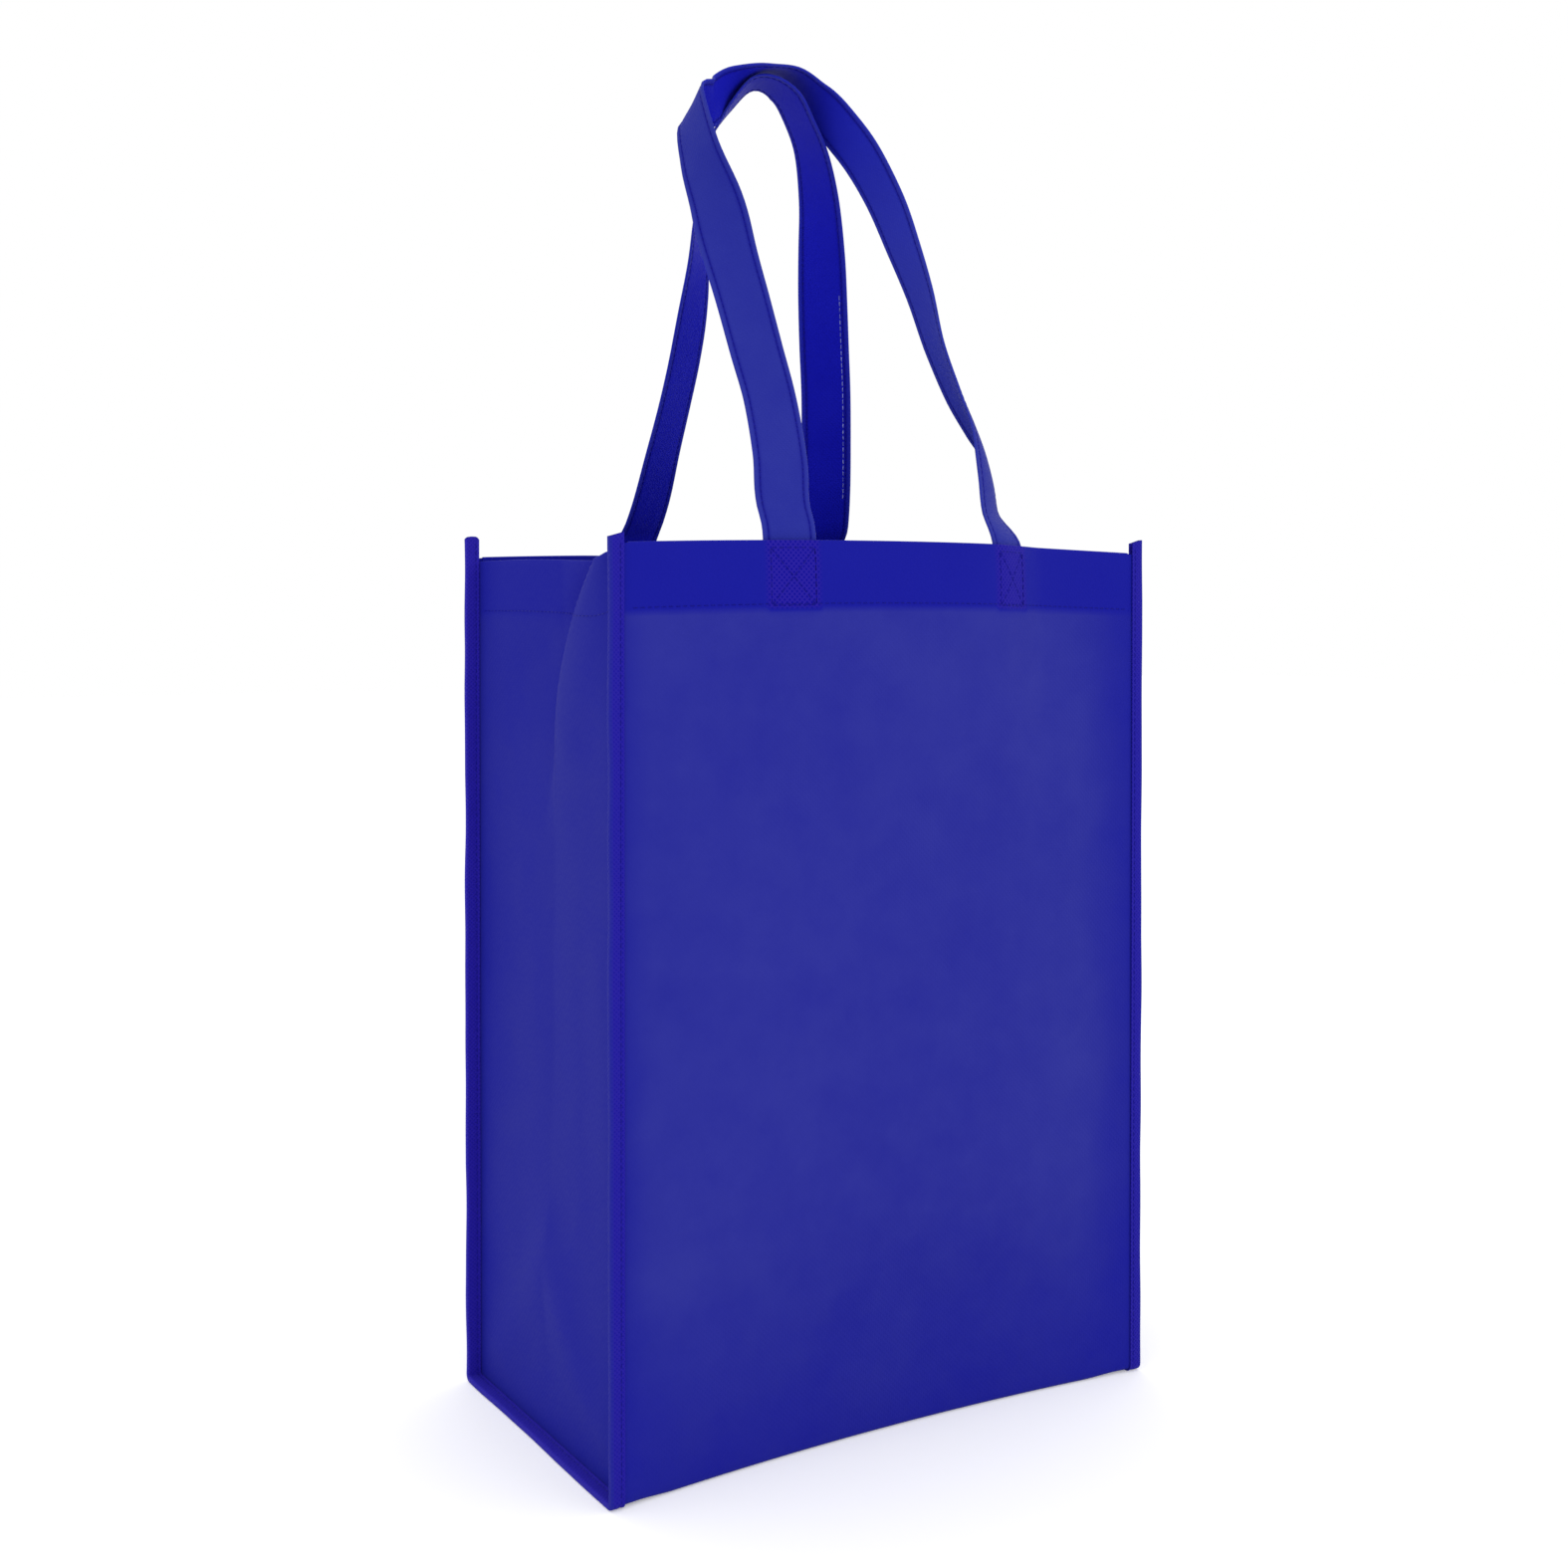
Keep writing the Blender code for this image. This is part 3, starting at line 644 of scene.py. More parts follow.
def sew_strap(name, stations, back, finish, slot, node):
    """A folded strap with rounded edges and a sewn groove beside each of them."""
    bag = sizes()
    half = bag.strap_width / 2
    marks = [-1.0, -0.97, -0.9, -0.84, STRAP_STITCH_IN / half - 1.0, -0.73, -0.66]
    shares = np.array([*marks, *np.linspace(-0.5, 0.5, 7), *(-m for m in reversed(marks))])
    middle = strap_middle(stations, back, shares)
    normal = surface_normals(middle)
    edge_in = half * (1.0 - np.abs(shares))
    rounding = np.sqrt(np.clip(1.0 - (1.0 - np.clip(edge_in / 0.0004, 0, 1)) ** 2, 0.0, 1.0))
    groove = 0.28 * np.exp(-((edge_in - STRAP_STITCH_IN) / 0.0005) ** 2)
    swell = 0.12 * np.exp(-((edge_in - STRAP_STITCH_IN / 2) / 0.0007) ** 2)
    thick = bag.strap_thickness / 2 * (rounding - groove + swell)
    ends = np.ones(len(middle))
    ends[0] = ends[-1] = 0.0
    offset = ends[:, None, None] * thick[None, :, None] * normal
    outer, inside = middle + offset, middle - offset
    loop = np.concatenate((outer, inside[:, ::-1]), 1)
    # The face mark picks the outer colour or the inner one, which is partly painted shade; on the
    # back handle the two are swapped.
    face = np.repeat([0.0, 1.0] if back else [1.0, 0.0], len(shares))
    # Painted shade along the sewn groove beside each edge.
    seam = np.exp(-((edge_in - STRAP_STITCH_IN) / 0.0006) ** 2) * 0.95
    seam = np.concatenate((seam, seam[::-1]))
    rim = 1.0 - smooth(edge_in, STRAP_STITCH_IN * 0.55, STRAP_STITCH_IN * 0.9)
    rim = np.concatenate((rim, rim[::-1]))
    cross = np.concatenate((shares, 4.0 - shares[::-1])) * half
    loop = np.concatenate((loop, loop[:, :1]), 1)
    face, seam, rim = (np.append(line, line[0]) for line in (face, seam, rim))
    cross = np.append(cross, cross[-1] + 0.0005)
    run = run_length(middle[:, len(shares) // 2])
    strap, column, row = lay_grid(
        name, loop.shape[1] - 1, loop.shape[0] - 1,
        lambda c, r: tuple(loop[r, c].T), lambda c, r: (cross[c] + 0.05, run[r] + 0.05))
    lit = smooth(run, run[-1] * 0.46, run[-1] * 0.74) * (0.0 if back else 0.95)
    mark(strap, "lit", lit[row])
    for mark_name, values in (("face", face), ("seam", seam), ("rim", rim)):
        mark(strap, mark_name, values[column])
    weld(strap)
    finish_piece(strap, finish, slot, node)
    return strap


def panel_grid():
    """The main panel's columns, profiles and flat lengths: flap, fold, front, base and back."""
    bag = sizes()
    flap_edge = bag.width / 2 - bag.cloth - layer() - CLEARANCE
    inner = flap_edge * np.linspace(-1.0, 1.0, PANEL_COLUMNS)
    outer = bag.width / 2 + bag.seam * np.array([0.0, 0.5, 1.0])
    x = np.concatenate((-outer[::-1], inner, outer))
    low = base_z(x) + CREASE_RADIUS
    arc = np.linspace(0.0, math.pi / 2, BEND_STEPS)[:, None]
    parts = []
    for back in (False, True):
        top = panel_height(x, back)
        flap_z = top - np.linspace(bag.hem, 0.0, FLAP_ROWS)[:, None]
        flap = np.stack((panel_y(x, flap_z, back, layer()), flap_z), -1)
        turn = fold_turn()
        fold_in = layer() / 2 * (1.0 + np.cos(turn))
        fold = np.stack((panel_y(x, top + 0 * turn, back, fold_in),
                         top + layer() / 2 * np.sin(turn)), -1)
        down = top + (low - top) * np.linspace(0.0, 1.0, PANEL_ROWS)[:, None]
        side = np.stack((panel_y(x, down, back), down), -1)
        way = 1.0 if back else -1.0
        foot = panel_y(x, low, back) - way * CREASE_RADIUS
        bend = np.stack((foot + way * CREASE_RADIUS * np.cos(arc),
                         low - CREASE_RADIUS * np.sin(arc)), -1)[1:]
        parts.append((np.concatenate((flap, fold, side, bend)), foot))
    (front, front_foot), (rear, rear_foot) = parts
    shares = np.linspace(0.0, 1.0, BASE_ROWS)[1:-1, None]
    base = np.stack((front_foot + (rear_foot - front_foot) * shares, base_z(x) + 0 * shares), -1)
    profile = np.concatenate((front, base, rear[::-1]))
    return x, profile, run_length(profile[:, len(x) // 2]), flap_edge


def strap_ends():
    """Each sewn strap end: its side of the bag, its middle and its half width across."""
    bag = sizes()
    for back, stations in ((False, FRONT_STATIONS), (True, BACK_STATIONS)):
        for end in (0, -1):
            middle = STRAP_SHIFT + stations[end][0] * bag.strap_spacing / 2
            yield back, middle, bag.strap_width / 2 * abs(math.cos(math.radians(stations[end][3])))


def strap_marks(x, z, back):
    """How far a place on a panel lies over a sewn strap end, from 0 to 1."""
    foot = panel_height(x, back) - STRAP_OVERLAP
    below = smooth(z, foot - STRAP_BLUR, foot + STRAP_BLUR)
    cover = np.zeros_like(below)
    for here, middle, half in strap_ends():
        if here == back:
            beside = 1.0 - smooth(np.abs(x - middle), half - STRAP_BLUR, half + STRAP_BLUR)
            cover = np.maximum(cover, beside * below)
    return cover


class CARRIERBAG_OT_main_panel(bpy.types.Operator):
    """Make the front, base and back from one hemmed cloth"""
    bl_idname = "carrier_bag.main_panel"
    bl_label = "Main panel"

    def execute(self, context):
        bag = sizes()
        x, profile, run, flap_edge = panel_grid()
        last = len(profile) - 1
        folded = FLAP_ROWS + FOLD_STEPS - 2
        cloth, column, row = lay_grid(
            "main_panel_cloth", len(x) - 1, last,
            lambda c, r: (x[c], profile[r, c, 0], profile[r, c, 1]),
            lambda c, r: (x[c] + bag.width / 2 + 0.02, run[r]))
        px, py, pz = corners(cloth.data).T
        layers = np.zeros(len(px))
        for back in (False, True):
            here = (py > 0.0) == back
            edge = panel_height(px, back) - bag.hem
            hemmed = smooth(pz, edge - BLUR, edge + BLUR)
            layers = np.where(here, hemmed + strap_marks(px, pz, back), layers)
        mark(cloth, "layers", layers)
        place = across(px)
        # Painted light and shade: the panel is lighter in its middle and painted darker towards the
        # floor and its side seams, most towards the right, where it turns away from the light.
        mark(cloth, "painted_light", smooth(pz, -0.03, 0.1) * (1.0 - smooth(place, 0.72, 1.0))
             * smooth(place, -1.06, -0.9))
        hemming = (row < folded) | (row > last - folded)
        turned = (row == folded) | (row == last - folded)
        trim(cloth, hemming & (np.abs(px) > flap_edge - HAIR)
             | turned & (np.abs(px) > flap_edge + HAIR))
        weld(cloth)
        thicken(cloth, bag.cloth)
        finish_piece(cloth, panel_finish("main_panel_dye", 1.0), "panel_cloth", "main_panel")
        return {'FINISHED'}


def gusset_top(y, left):
    """Height of a gusset's folded edge: the left one dips beside its ridge and climbs its seam."""
    place = y / (sizes().depth / 2)
    dip = smooth(place, -1.0, RIDGE_TOP) * (1.0 - smooth(place, RIDGE_TOP, 0.6))
    climb = 1.0 - smooth(place, -0.97, -0.66)
    share = 1.0 if left else 0.0
    return sizes().height - GUSSET_LOWER + share * (LIP_CLIMB * climb - GUSSET_DIP * dip)


def ridge_line(z):
    """Place of the left gusset's ridge across it, and how strongly it stands there."""
    top = sizes().height - GUSSET_LOWER
    fall = np.maximum(0.0, top - z)
    return (RIDGE_TOP + RIDGE_TRAVEL * (1.0 - np.exp(-fall / RIDGE_FALL)),
            smooth(z, top - RIDGE_LENGTH, top - RIDGE_FULL))


def gusset_out(y, z, left):
    """How far a gusset stands outside the plane of its seams at a place on it."""
    bag = sizes()
    half = bag.depth / 2
    top = bag.height - GUSSET_LOWER
    place = np.clip(y / half, -1.0, 1.0)
    span = 1.0 - place ** 2
    held = (smooth(z, 2 * CREASE_RADIUS, SEAM_GRIP)
            * smooth(half - np.abs(y), 0.0015, SEAM_GRIP / 2))
    above = smooth(z, half * 0.75, half * 2.4)
    crease = -GUSSET_CREASE * (1.0 - np.abs(place)) * above
    foot_height = half * (1.0 - np.abs(place))
    foot = GUSSET_FOOT * span * np.exp(-((z - foot_height) / FOOT_REACH) ** 2) * (1.0 - above)
    ripple = (0.0009 * cloudy(y, z * 0.6, 5.5 if left else 9.2, 0.03)
              * (1.0 - smooth(z, top - 0.04, top - 0.02)))
    out = crease + foot + ripple
    if left:
        ridge_at, strength = ridge_line(z)
        beside = place - ridge_at
        ridge = np.where(beside < 0.0, smooth(place, -1.0, ridge_at),
                         1.0 - smooth(beside, 0.0, 0.2))
        hollow = smooth(beside, 0.0, 0.22) * (1.0 - smooth(beside, 0.22, 1.0 - ridge_at))
        out = out + strength * (GUSSET_RIDGE * ridge - GUSSET_VALLEY * hollow)
    return held * out


def sew_gusset(name, left, finish, slot, node):
    """A side panel with a hem at the top and lips turned outwards into the seams."""
    bag = sizes()
    side = -1.0 if left else 1.0
    radius = CREASE_RADIUS - layer()
    centre = bag.depth / 2 - CREASE_RADIUS
    low = TAPE + CLEARANCE + bag.cloth / 2 + CREASE_RADIUS
    lip = bag.seam * np.array([1.0, 0.5])
    shares = np.array([-1.0, -1.0, *np.linspace(-1.0, 1.0, GUSSET_COLUMNS), 1.0, 1.0])
    side_lip = np.concatenate((lip, np.zeros(GUSSET_COLUMNS), lip[::-1]))
    arc = np.linspace(0.0, math.pi / 2, BEND_STEPS)
    panel = np.linspace(0.0, 1.0, GUSSET_ROWS)[1:]
    sink = np.concatenate((np.zeros(2), arc, np.full(len(panel), math.pi / 2)))
    climb = np.concatenate((np.zeros(2 + BEND_STEPS), panel))
    foot_lip = np.concatenate((lip, np.zeros(len(sink) - 2)))
    y = (centre + radius * np.sin(sink))[:, None] * shares[None, :]
    top = gusset_top(y, left)
    z = (low - radius * np.cos(sink))[:, None] + (top - low) * climb[:, None]
    out = np.maximum(side_lip[None, :], foot_lip[:, None])
    x = side * (bag.width / 2 + np.where(out > 0.0, out, gusset_out(y, z, left)))
    edge_y, edge_top = y[-1], top[-1]
    turn = fold_turn()
    fold_in = layer() / 2 * (1.0 - np.cos(turn))
    fold_z = edge_top + layer() / 2 * np.sin(turn)
    fold_x = side * (bag.width / 2 + gusset_out(edge_y, edge_top + 0 * turn, left) - fold_in)
    flap_z = edge_top - np.linspace(0.0, bag.hem * GUSSET_HEM, FLAP_ROWS)[:, None]
    flap_x = side * (bag.width / 2 + gusset_out(edge_y, flap_z, left) - layer())
    x = np.concatenate((x, fold_x, flap_x))
    z = np.concatenate((z, fold_z, flap_z))
    y = np.concatenate((y, edge_y + 0 * fold_z, edge_y + 0 * flap_z))
    middle = len(shares) // 2
    run = run_length(np.stack((y[:, middle], z[:, middle]), -1))
    cloth, column, row = lay_grid(
        name, x.shape[1] - 1, x.shape[0] - 1, lambda c, r: (x[r, c], y[r, c], z[r, c]),
        lambda c, r: (shares[c] * bag.depth / 2 + side_lip[c] * np.sign(shares[c]) + 0.09, run[r]))
    folded = len(top) - 1
    place, pz = shares[column], z[row, column]
    edge = gusset_top(y[row, column], left) - bag.hem * GUSSET_HEM
    layers = smooth(pz, edge - BLUR, edge + BLUR)
    ridge_at, strength = ridge_line(pz)
    beside = place - ridge_at
    strength = strength * (1.0 if left else 0.0)
    # Painted light and shade: the middle of each side panel is a little lighter, the left one's
    # ridge crest carries a painted highlight and the hollow beside it painted shade.
    painted_light = 0.12 * smooth(1.0 - np.abs(place), 0.0, 0.6) * smooth(pz, -0.02, 0.1)
    painted_light += strength * 0.5 * smooth(beside, -0.35, -0.02) * (1.0 - smooth(beside, -0.02, 0.02))
    painted_light -= strength * 0.5 * smooth(beside, 0.0, 0.05) * (1.0 - smooth(beside, 0.1, 0.45))
    # Painted light: the darker hem fades out on the lit side of the ridge, and a painted shadow
    # darkens the hem in the hollow beyond it.
    painted_ridge_light = strength * smooth(-beside, -0.02, 0.04) * 0.9
    hollow = strength * smooth(beside, 0.0, 0.03) * (1.0 - smooth(beside, 0.3, 0.62))
    mark(cloth, "painted_light", painted_light)
    mark(cloth, "layers", layers * (0.75 - 0.75 * painted_ridge_light))
    mark(cloth, "painted_hollow_shadow", hollow * smooth(pz, edge - 0.012, edge + 0.012))
    in_lip = np.abs(place) > 0.999
    trim(cloth, in_lip & ((row <= 2) | (row >= folded)))
    weld(cloth)
    thicken(cloth, bag.cloth)
    finish_piece(cloth, finish, slot, node)


class CARRIERBAG_OT_gussets(bpy.types.Operator):
    """Make the two side panels"""
    bl_idname = "carrier_bag.gussets"
    bl_label = "Gussets"

    def execute(self, context):
        sew_gusset("left_gusset_cloth", True, panel_finish("left_gusset_dye", 2.0),
                   "left_gusset_cloth", "left_gusset")
        sew_gusset("right_gusset_cloth", False, panel_finish("right_gusset_dye", 3.0),
                   "right_gusset_cloth", "right_gusset")
        return {'FINISHED'}


def seam_path(side):
    """Middle of a bound seam from its front tip round the base to its back tip.

    Each row holds the place's y and z, and the way out of the bag there.
    """
    bag = sizes()
    radius = CREASE_RADIUS - layer() / 2
    centre = bag.depth / 2 - CREASE_RADIUS
    low = TAPE + CLEARANCE + bag.cloth / 2 + CREASE_RADIUS
    front_stand, back_stand = TAPE_STANDS[side]

    def run(start, end):
        return np.linspace(start, end, round(abs(end - start) / TAPE_STEP))

    def bend(middle, start):
        turn = np.linspace(start, start + math.pi / 2, BEND_STEPS)
        return [(middle + radius * way_y, low + radius * way_z, way_y, way_z)
                for way_y, way_z in zip(np.cos(turn), np.sin(turn))]

    return np.array([
        *((-centre - radius, z, -1.0, 0.0) for z in run(bag.height + front_stand, low)[:-1]),
        *bend(-centre, math.pi),
        *((y, low - radius, 0.0, -1.0) for y in run(-centre, centre)[1:-1]),
        *bend(centre, 1.5 * math.pi),
        *((centre + radius, z, 1.0, 0.0) for z in run(low, panel_top(True) + back_stand)[1:]),
    ])


def tape_section():
    """Distances of the tape's legs from the seam: across it and out of it, and its fold."""
    bag = sizes()
    bind = layer() / 2 + bag.cloth / 2 + CLEARANCE + TAPE / 2
    root = bag.width / 2 + bag.cloth / 2 + CLEARANCE
    tip = bag.width / 2 + bag.seam + CLEARANCE + TAPE / 2
    leg = np.linspace(root, tip - TAPE_CORNER, 8)
    pinch = 0.0002 * np.exp(-((leg - root - TAPE_STITCH_IN) / 0.0006) ** 2)
    turn = np.linspace(-math.pi / 2, 0.0, 4)[1:]
    bend_x = tip - TAPE_CORNER + TAPE_CORNER * np.cos(turn)
    bend_out = -bind + TAPE_CORNER + TAPE_CORNER * np.sin(turn)
    x = np.concatenate((leg, bend_x))
    out = np.concatenate((-bind + pinch, bend_out))
    return np.concatenate((x, x[::-1])), np.concatenate((out, -out[::-1])), tip, bind


def bind_seam(name, side, finish, slot, node):
    """A folded tape over the seam of one side, with a slightly uneven outer fold."""
    x, out, tip, bind = tape_section()
    path = seam_path(side)
    run = run_length(path[:, :2])
    sway = 0.0005 * np.array([noise.noise((s / 0.03, side * 4.0, 0.5)) for s in run])
    reach = smooth(x, x.min() + 0.002, tip)
    cross = run_length(np.stack((x, out), -1))
    fold = smooth(x, tip - 0.0012, tip - 0.0003) * 0.6
    middle = (x.min() + tip) / 2
    front = smooth(path[:, 1], path[0, 1] - 0.005, path[0, 1]) * (path[:, 2] < -0.5)
    rear = smooth(path[:, 1], path[-1, 1] - 0.003, path[-1, 1]) * (path[:, 2] > 0.5)
    slant = side * TIP_SLANT * (x - middle)
    rounded = TIP_ROUND * ((x - middle) / (tip - middle)) ** 4
    tape, column, row = lay_grid(
        name, len(x) - 1, len(path) - 1,
        lambda c, r: (side * (x[c] + sway[r] * reach[c]), path[r, 0] + out[c] * path[r, 2],
                      path[r, 1] + out[c] * path[r, 3]
                      + front[r] * slant[c] - rear[r] * rounded[c]),
        lambda c, r: (cross[c] + 0.02, run[r] + 0.02))
    mark(tape, "fold", fold[column])
    # Marks the base and back runs, which lie in shade, for their painted light.
    mark(tape, "shaded", np.clip(1.0 + path[row, 2], 0.0, 1.0))
    weld(tape)
    thicken(tape, TAPE)
    finish_piece(tape, finish, slot, node)


class CARRIERBAG_OT_bindings(bpy.types.Operator):
    """Make the tapes over the two side seams"""
    bl_idname = "carrier_bag.bindings"
    bl_label = "Bindings"

    def execute(self, context):
        bind_seam("left_binding_tape", -1.0, tape_finish("left_binding_dye", 4.0),
                  "left_binding_tape", "left_binding")
        bind_seam("right_binding_tape", 1.0, tape_finish("right_binding_dye", 5.0),
                  "right_binding_tape", "right_binding")
        return {'FINISHED'}


class CARRIERBAG_OT_handles(bpy.types.Operator):
    """Make the two strap handles"""
    bl_idname = "carrier_bag.handles"
    bl_label = "Handles"

    def execute(self, context):
        sew_strap("front_handle_strap", FRONT_STATIONS, False,
                  strap_finish("front_handle_dye", 6.0), "front_handle_strap", "front_handle")
        sew_strap("back_handle_strap", BACK_STATIONS, True,
                  strap_finish("back_handle_dye", 7.0), "back_handle_strap", "back_handle")
        return {'FINISHED'}


def stitch_line(points, normals):
    """Corners of the stitches along one line of points on a surface."""
    bag = sizes()
    run = run_length(points)
    count = max(1, int(run[-1] / bag.stitch))
    pitch = run[-1] / count
    half = pitch * STITCH_SHARE / 2
    middles = (np.arange(count) + 0.5) * pitch

    def at(places, values):
        return np.stack([np.interp(places, run, values[:, i]) for i in range(3)], -1)

    start, end = at(middles - half, points), at(middles + half, points)
    along = unit(end - start)
    up = at(middles, normals)
    up = unit(up - np.sum(up * along, -1, keepdims=True) * along)
    wide = np.cross(along, up)
    reach = np.linalg.norm(end - start, axis=-1)[:, None] / 2
    radius = bag.thread / 2
    rings = []
    for share, size, lift in ((-1.0, 0.3, -0.7), (-0.6, 1.0, 0.35),
                              (0.6, 1.0, 0.35), (1.0, 0.3, -0.7)):
        for turn in np.arange(5) * 2 * math.pi / 5:
            rings.append((start + end) / 2 + share * reach * along
                         + radius * (lift + size * math.cos(turn)) * up
                         + radius * size * math.sin(turn) * wide)
    return np.stack(rings, 1)


STITCH_FACES = ([(r * 5 + i, r * 5 + (i + 1) % 5, r * 5 + 5 + (i + 1) % 5, r * 5 + 5 + i)
                 for r in range(3) for i in range(5)] + [(4, 3, 2, 1, 0), (15, 16, 17, 18, 19)])


def sew(name, lines, finish, slot):
    """Add the stitches of many lines as one piece."""
    stitches = np.concatenate([stitch_line(np.array(p), np.array(n)) for p, n in lines])
    faces = [tuple(i * 20 + corner for corner in face)
             for i in range(len(stitches)) for face in STITCH_FACES]
    mesh = bpy.data.meshes.new(name)
    mesh.from_pydata(stitches.reshape(-1, 3).tolist(), [], faces)
    mesh.update()
    work = bmesh.new()
    work.from_mesh(mesh)
    bmesh.ops.recalc_face_normals(work, faces=work.faces)
    work.to_mesh(mesh)
    work.free()
    piece = bpy.data.objects.new(name, mesh)
    bpy.context.scene.collection.objects.link(piece)
    return finish_piece(piece, finish, slot)


def panel_line(x, z, back, outside):
    """Points and normals of a line on a panel's outer or inner face."""
    bag = sizes()
    way = (1.0 if back else -1.0) * (1.0 if outside else -1.0)
    gap = bag.cloth / 2 if outside else layer() + bag.cloth / 2
    step = 0.0005
    y = panel_y(x, z, back)
    slope_x = (panel_y(x + step, z, back) - panel_y(x - step, z, back)) / (2 * step)
    slope_z = (panel_y(x, z + step, back) - panel_y(x, z - step, back)) / (2 * step)
    normal = unit(np.stack((-slope_x, np.ones_like(x), -slope_z), -1)) * way
    return np.stack((x, y, z), -1) + normal * gap, normal


class CARRIERBAG_OT_hem_stitches(bpy.types.Operator):
    """Sew the hems round the mouth and the boxes at the strap ends"""
    bl_idname = "carrier_bag.hem_stitches"
    bl_label = "Hem stitches"

    def execute(self, context):
        bag = sizes()
        lines = []
        half = bag.width / 2 - FRONT_LINE_SHORT
        for back in (False, True):
            ends = sorted((middle - wide, middle + wide)
                          for side, middle, wide in strap_ends() if side == back)
            stops = [-half] + [stop for pair in ends for stop in pair] + [half]
            for outside in (True, False):
                for low, high in ([(-half, half)] if outside else zip(stops[::2], stops[1::2])):
                    x = np.linspace(low, high, 120)
                    z = panel_height(x, back) - bag.hem + HEM_STITCH_IN
                    lines.append(panel_line(x, z, back, outside))
        for left in (True, False):
            side = -1.0 if left else 1.0
            y = (bag.depth / 2 - SIDE_LINE_SHORT) * np.linspace(-1.0, 1.0, 80)
            z = gusset_top(y, left) - bag.hem * GUSSET_HEM + HEM_STITCH_IN
            x = bag.width / 2 + gusset_out(y, z, left)
            normal = np.stack((np.full(80, side), 0 * y, 0 * y), -1)
            for gap, way in ((bag.cloth / 2, 1.0), (-layer() - bag.cloth / 2, -1.0)):
                lines.append((np.stack((side * (x + gap), y, z), -1), normal * way))
        sew("hem_stitches", lines, thread_finish(), "panel_cloth")
        boxes = []
        for back, middle, wide in strap_ends():
            wide -= BOX_MARGIN * 0.7
            top, low = -BOX_TOP, -STRAP_OVERLAP + BOX_MARGIN
            knots = [(-wide, top), (wide, top), (wide, low), (-wide, low), (-wide, top),
                     (wide, low), (wide, top), (-wide, low)]
            for (x0, z0), (x1, z1) in zip(knots[:-1], knots[1:]):
                share = np.linspace(0.0, 1.0, 16)
                x = middle + x0 + (x1 - x0) * share
                z = panel_height(x, back) + z0 + (z1 - z0) * share
                boxes.append(panel_line(x, z, back, True))
                points, normals = panel_line(x, z, back, False)
                under = CLEARANCE + STRAP_EASE + bag.strap_thickness
                boxes.append((points + normals * under, normals))
        sew("box_stitches", boxes, thread_finish(), "panel_cloth")
        return {'FINISHED'}


class CARRIERBAG_OT_tape_stitches(bpy.types.Operator):
    """Sew the tapes through the seams"""
    bl_idname = "carrier_bag.tape_stitches"
    bl_label = "Tape stitches"

    def execute(self, context):
        x, out, tip, bind = tape_section()
        lines = []
        for side in (-1.0, 1.0):
            path = seam_path(side)
            inner = path[1:-1]
            for way in (-1.0, 1.0):
                gap = way * (bind + TAPE / 2 - PULLED_IN)
                points = np.stack((np.full(len(inner), side * (x.min() + TAPE_STITCH_IN)),
                                   inner[:, 0] + gap * inner[:, 2],
                                   inner[:, 1] + gap * inner[:, 3]), -1)
                normals = np.stack((0 * inner[:, 0], way * inner[:, 2], way * inner[:, 3]), -1)
                lines.append((points, normals))
        sew("tape_stitches", lines, thread_finish(), "left_binding_tape")
        return {'FINISHED'}


class CARRIERBAG_OT_strap_stitches(bpy.types.Operator):
    """Sew both edges of the straps"""
    bl_idname = "carrier_bag.strap_stitches"
    bl_label = "Strap stitches"

    def execute(self, context):
        bag = sizes()
        share = 1.0 - STRAP_STITCH_IN / (bag.strap_width / 2)
        shares = np.array([-share - 0.02, -share, -share + 0.02, share - 0.02, share, share + 0.02])
        gap = bag.strap_thickness / 2 * 0.72
        for name, stations, back in (("front_strap_stitches", FRONT_STATIONS, False),
                                     ("back_strap_stitches", BACK_STATIONS, True)):
            middle = strap_middle(stations, back, shares)
            normal = surface_normals(middle)
            lines = []
            for column in (1, 4):
                for way in (-1.0, 1.0):
                    up = normal[FLAP_ROWS:-FLAP_ROWS, column] * way
                    lines.append((middle[FLAP_ROWS:-FLAP_ROWS, column] + up * gap, up))
            sew(name, lines, thread_finish(), "back_handle_strap" if back else "front_handle_strap")
        # Painted light: pale stitch-shaped pieces stand for the daylight seen through the needle
        # holes on the back handle's right leg.
        middle = strap_middle(BACK_STATIONS, True, shares + np.where(shares > 0.0, -0.1, 0.1))
        normal = surface_normals(middle)
        above = middle[:, 1, 2] - bag.height
        leg = (above > NEEDLE_HOLES[0]) & (above < NEEDLE_HOLES[1]) & (middle[:, 1, 0] > 0.0)
        up = normal[leg, 1]
        sew("needle_hole_painted_light", [(middle[leg, 1] + up * bag.strap_thickness * 0.5, up)], hole_finish(),
            "back_handle_strap")
        return {'FINISHED'}


def aim(thing, target):
    """Turn a lamp towards a place."""
    way = np.array(target) - np.array(thing.location)
    thing.rotation_euler = (math.acos(-way[2] / np.linalg.norm(way)),
                            0.0, math.atan2(way[1], way[0]) - math.pi / 2)


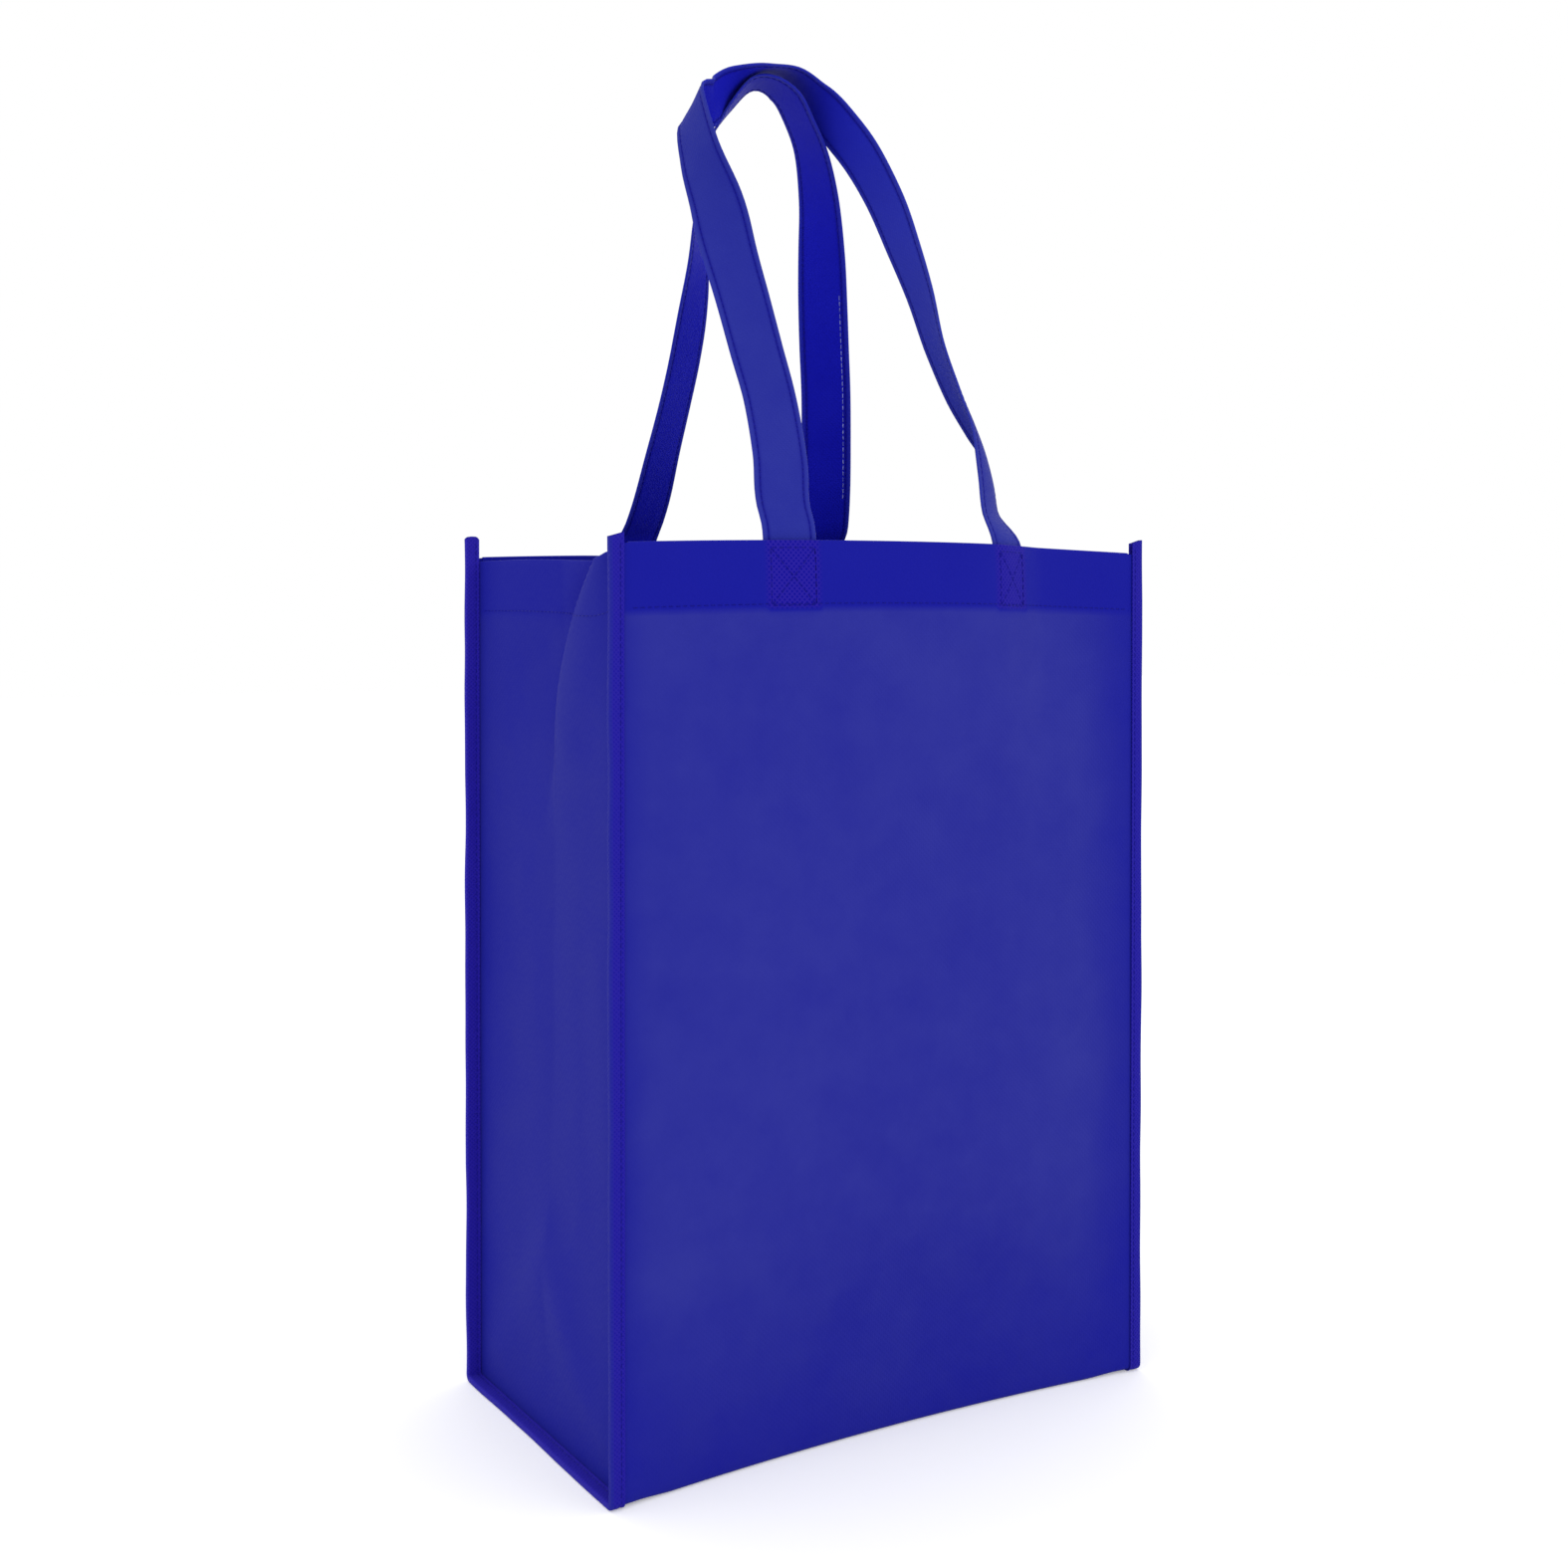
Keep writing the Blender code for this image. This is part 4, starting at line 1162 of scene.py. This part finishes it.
class CARRIERBAG_OT_stage(bpy.types.Operator):
    """Set up the floor, the lamps, the world and the camera"""
    bl_idname = "carrier_bag.stage"
    bl_label = "Stage"

    def execute(self, context):
        bpy.ops.object.select_all(action='DESELECT')
        bpy.ops.mesh.primitive_plane_add(size=16.0, location=(0.0, 0.0, FLOOR_Z))
        floor = bpy.context.object
        floor.name = "studio_floor"
        paper = Finish("floor_paper", 0.9, 0.0, 0.0)
        paper.shader.inputs["Base Color"].default_value = (*colours().floor, 1.0)
        paper.shader.inputs["Emission Color"].default_value = WHITE
        seen = paper.add("ShaderNodeLightPath").outputs["Is Camera Ray"]
        paper.send(paper.ramp(seen, 0.0, 1.0, 0.0, 0.3), "Emission Strength")
        floor.data.materials.append(paper.material)
        for name, place, size, watts in (("key_lamp", (-0.9, -2.0, 1.7), 1.6, 7.0),
                                         ("fill_lamp", (1.3, -1.9, 1.1), 1.8, 3.0),
                                         ("top_lamp", (0.1, 0.4, 2.4), 1.6, 4.0)):
            bpy.ops.object.light_add(type='AREA', location=place)
            lamp = bpy.context.object
            lamp.name = name
            lamp.data.energy = watts
            lamp.data.size = size
            aim(lamp, (0.0, 0.0, 0.25))
        world = bpy.data.worlds.new("studio_world")
        context.scene.world = world
        world.use_nodes = True
        tree = world.node_tree
        light = tree.nodes["Background"]
        backdrop = tree.nodes.new("ShaderNodeBackground")
        for source, strength in ((light, 0.94), (backdrop, 1.0)):
            source.inputs["Color"].default_value = WHITE
            source.inputs["Strength"].default_value = strength
        rays = tree.nodes.new("ShaderNodeLightPath")
        seen = tree.nodes.new("ShaderNodeMath")
        seen.operation = 'MAXIMUM'
        for socket, kind in enumerate(("Is Camera Ray", "Is Glossy Ray")):
            tree.links.new(rays.outputs[kind], seen.inputs[socket])
        mix = tree.nodes.new("ShaderNodeMixShader")
        for socket, source in enumerate((seen, light, backdrop)):
            tree.links.new(source.outputs[0], mix.inputs[socket])
        tree.links.new(mix.outputs[0], tree.nodes["World Output"].inputs["Surface"])
        bpy.ops.object.camera_add(location=(-0.4596, -0.7402, 0.3508),
                                  rotation=(math.radians(89.2), 0.0, math.radians(-31.177)))
        camera = bpy.context.object
        camera.name = "photo_camera"
        camera.data.lens = 43.41
        camera.data.sensor_width = 36.0
        camera.data.shift_y = -0.0891
        context.scene.camera = camera
        context.scene.view_settings.view_transform = 'Standard'
        return {'FINISHED'}


class CARRIERBAG_PT_panel(bpy.types.Panel):
    """Sizes, colours and steps of the bag"""
    bl_idname = "CARRIERBAG_PT_panel"
    bl_label = "Carrier Bag"
    bl_space_type = 'VIEW_3D'
    bl_region_type = 'UI'
    bl_category = "Carrier Bag"

    def draw(self, context):
        for group in (sizes(), colours()):
            box = self.layout.box()
            for name in group.__annotations__:
                box.prop(group, name)
        for step in STEPS:
            self.layout.operator(step.bl_idname)


STEPS = (CARRIERBAG_OT_main_panel, CARRIERBAG_OT_gussets, CARRIERBAG_OT_bindings,
         CARRIERBAG_OT_handles, CARRIERBAG_OT_hem_stitches, CARRIERBAG_OT_tape_stitches,
         CARRIERBAG_OT_strap_stitches, CARRIERBAG_OT_stage)
CLASSES = (BagSizes, BagColours, *STEPS, CARRIERBAG_PT_panel)


def register():
    """Add the bag's operators, panel and properties."""
    for item in CLASSES:
        bpy.utils.register_class(item)
    bpy.types.Scene.carrier_bag_sizes = bpy.props.PointerProperty(type=BagSizes)
    bpy.types.Scene.carrier_bag_colours = bpy.props.PointerProperty(type=BagColours)


def unregister():
    """Take the bag's operators, panel and properties away."""
    del bpy.types.Scene.carrier_bag_colours
    del bpy.types.Scene.carrier_bag_sizes
    for item in reversed(CLASSES):
        bpy.utils.unregister_class(item)


def main():
    """Make the bag and its stage."""
    register()
    bpy.ops.carrier_bag.main_panel()
    bpy.ops.carrier_bag.gussets()
    bpy.ops.carrier_bag.bindings()
    bpy.ops.carrier_bag.handles()
    bpy.ops.carrier_bag.hem_stitches()
    bpy.ops.carrier_bag.tape_stitches()
    bpy.ops.carrier_bag.strap_stitches()
    bpy.ops.carrier_bag.stage()


if __name__ == "__main__":
    main()
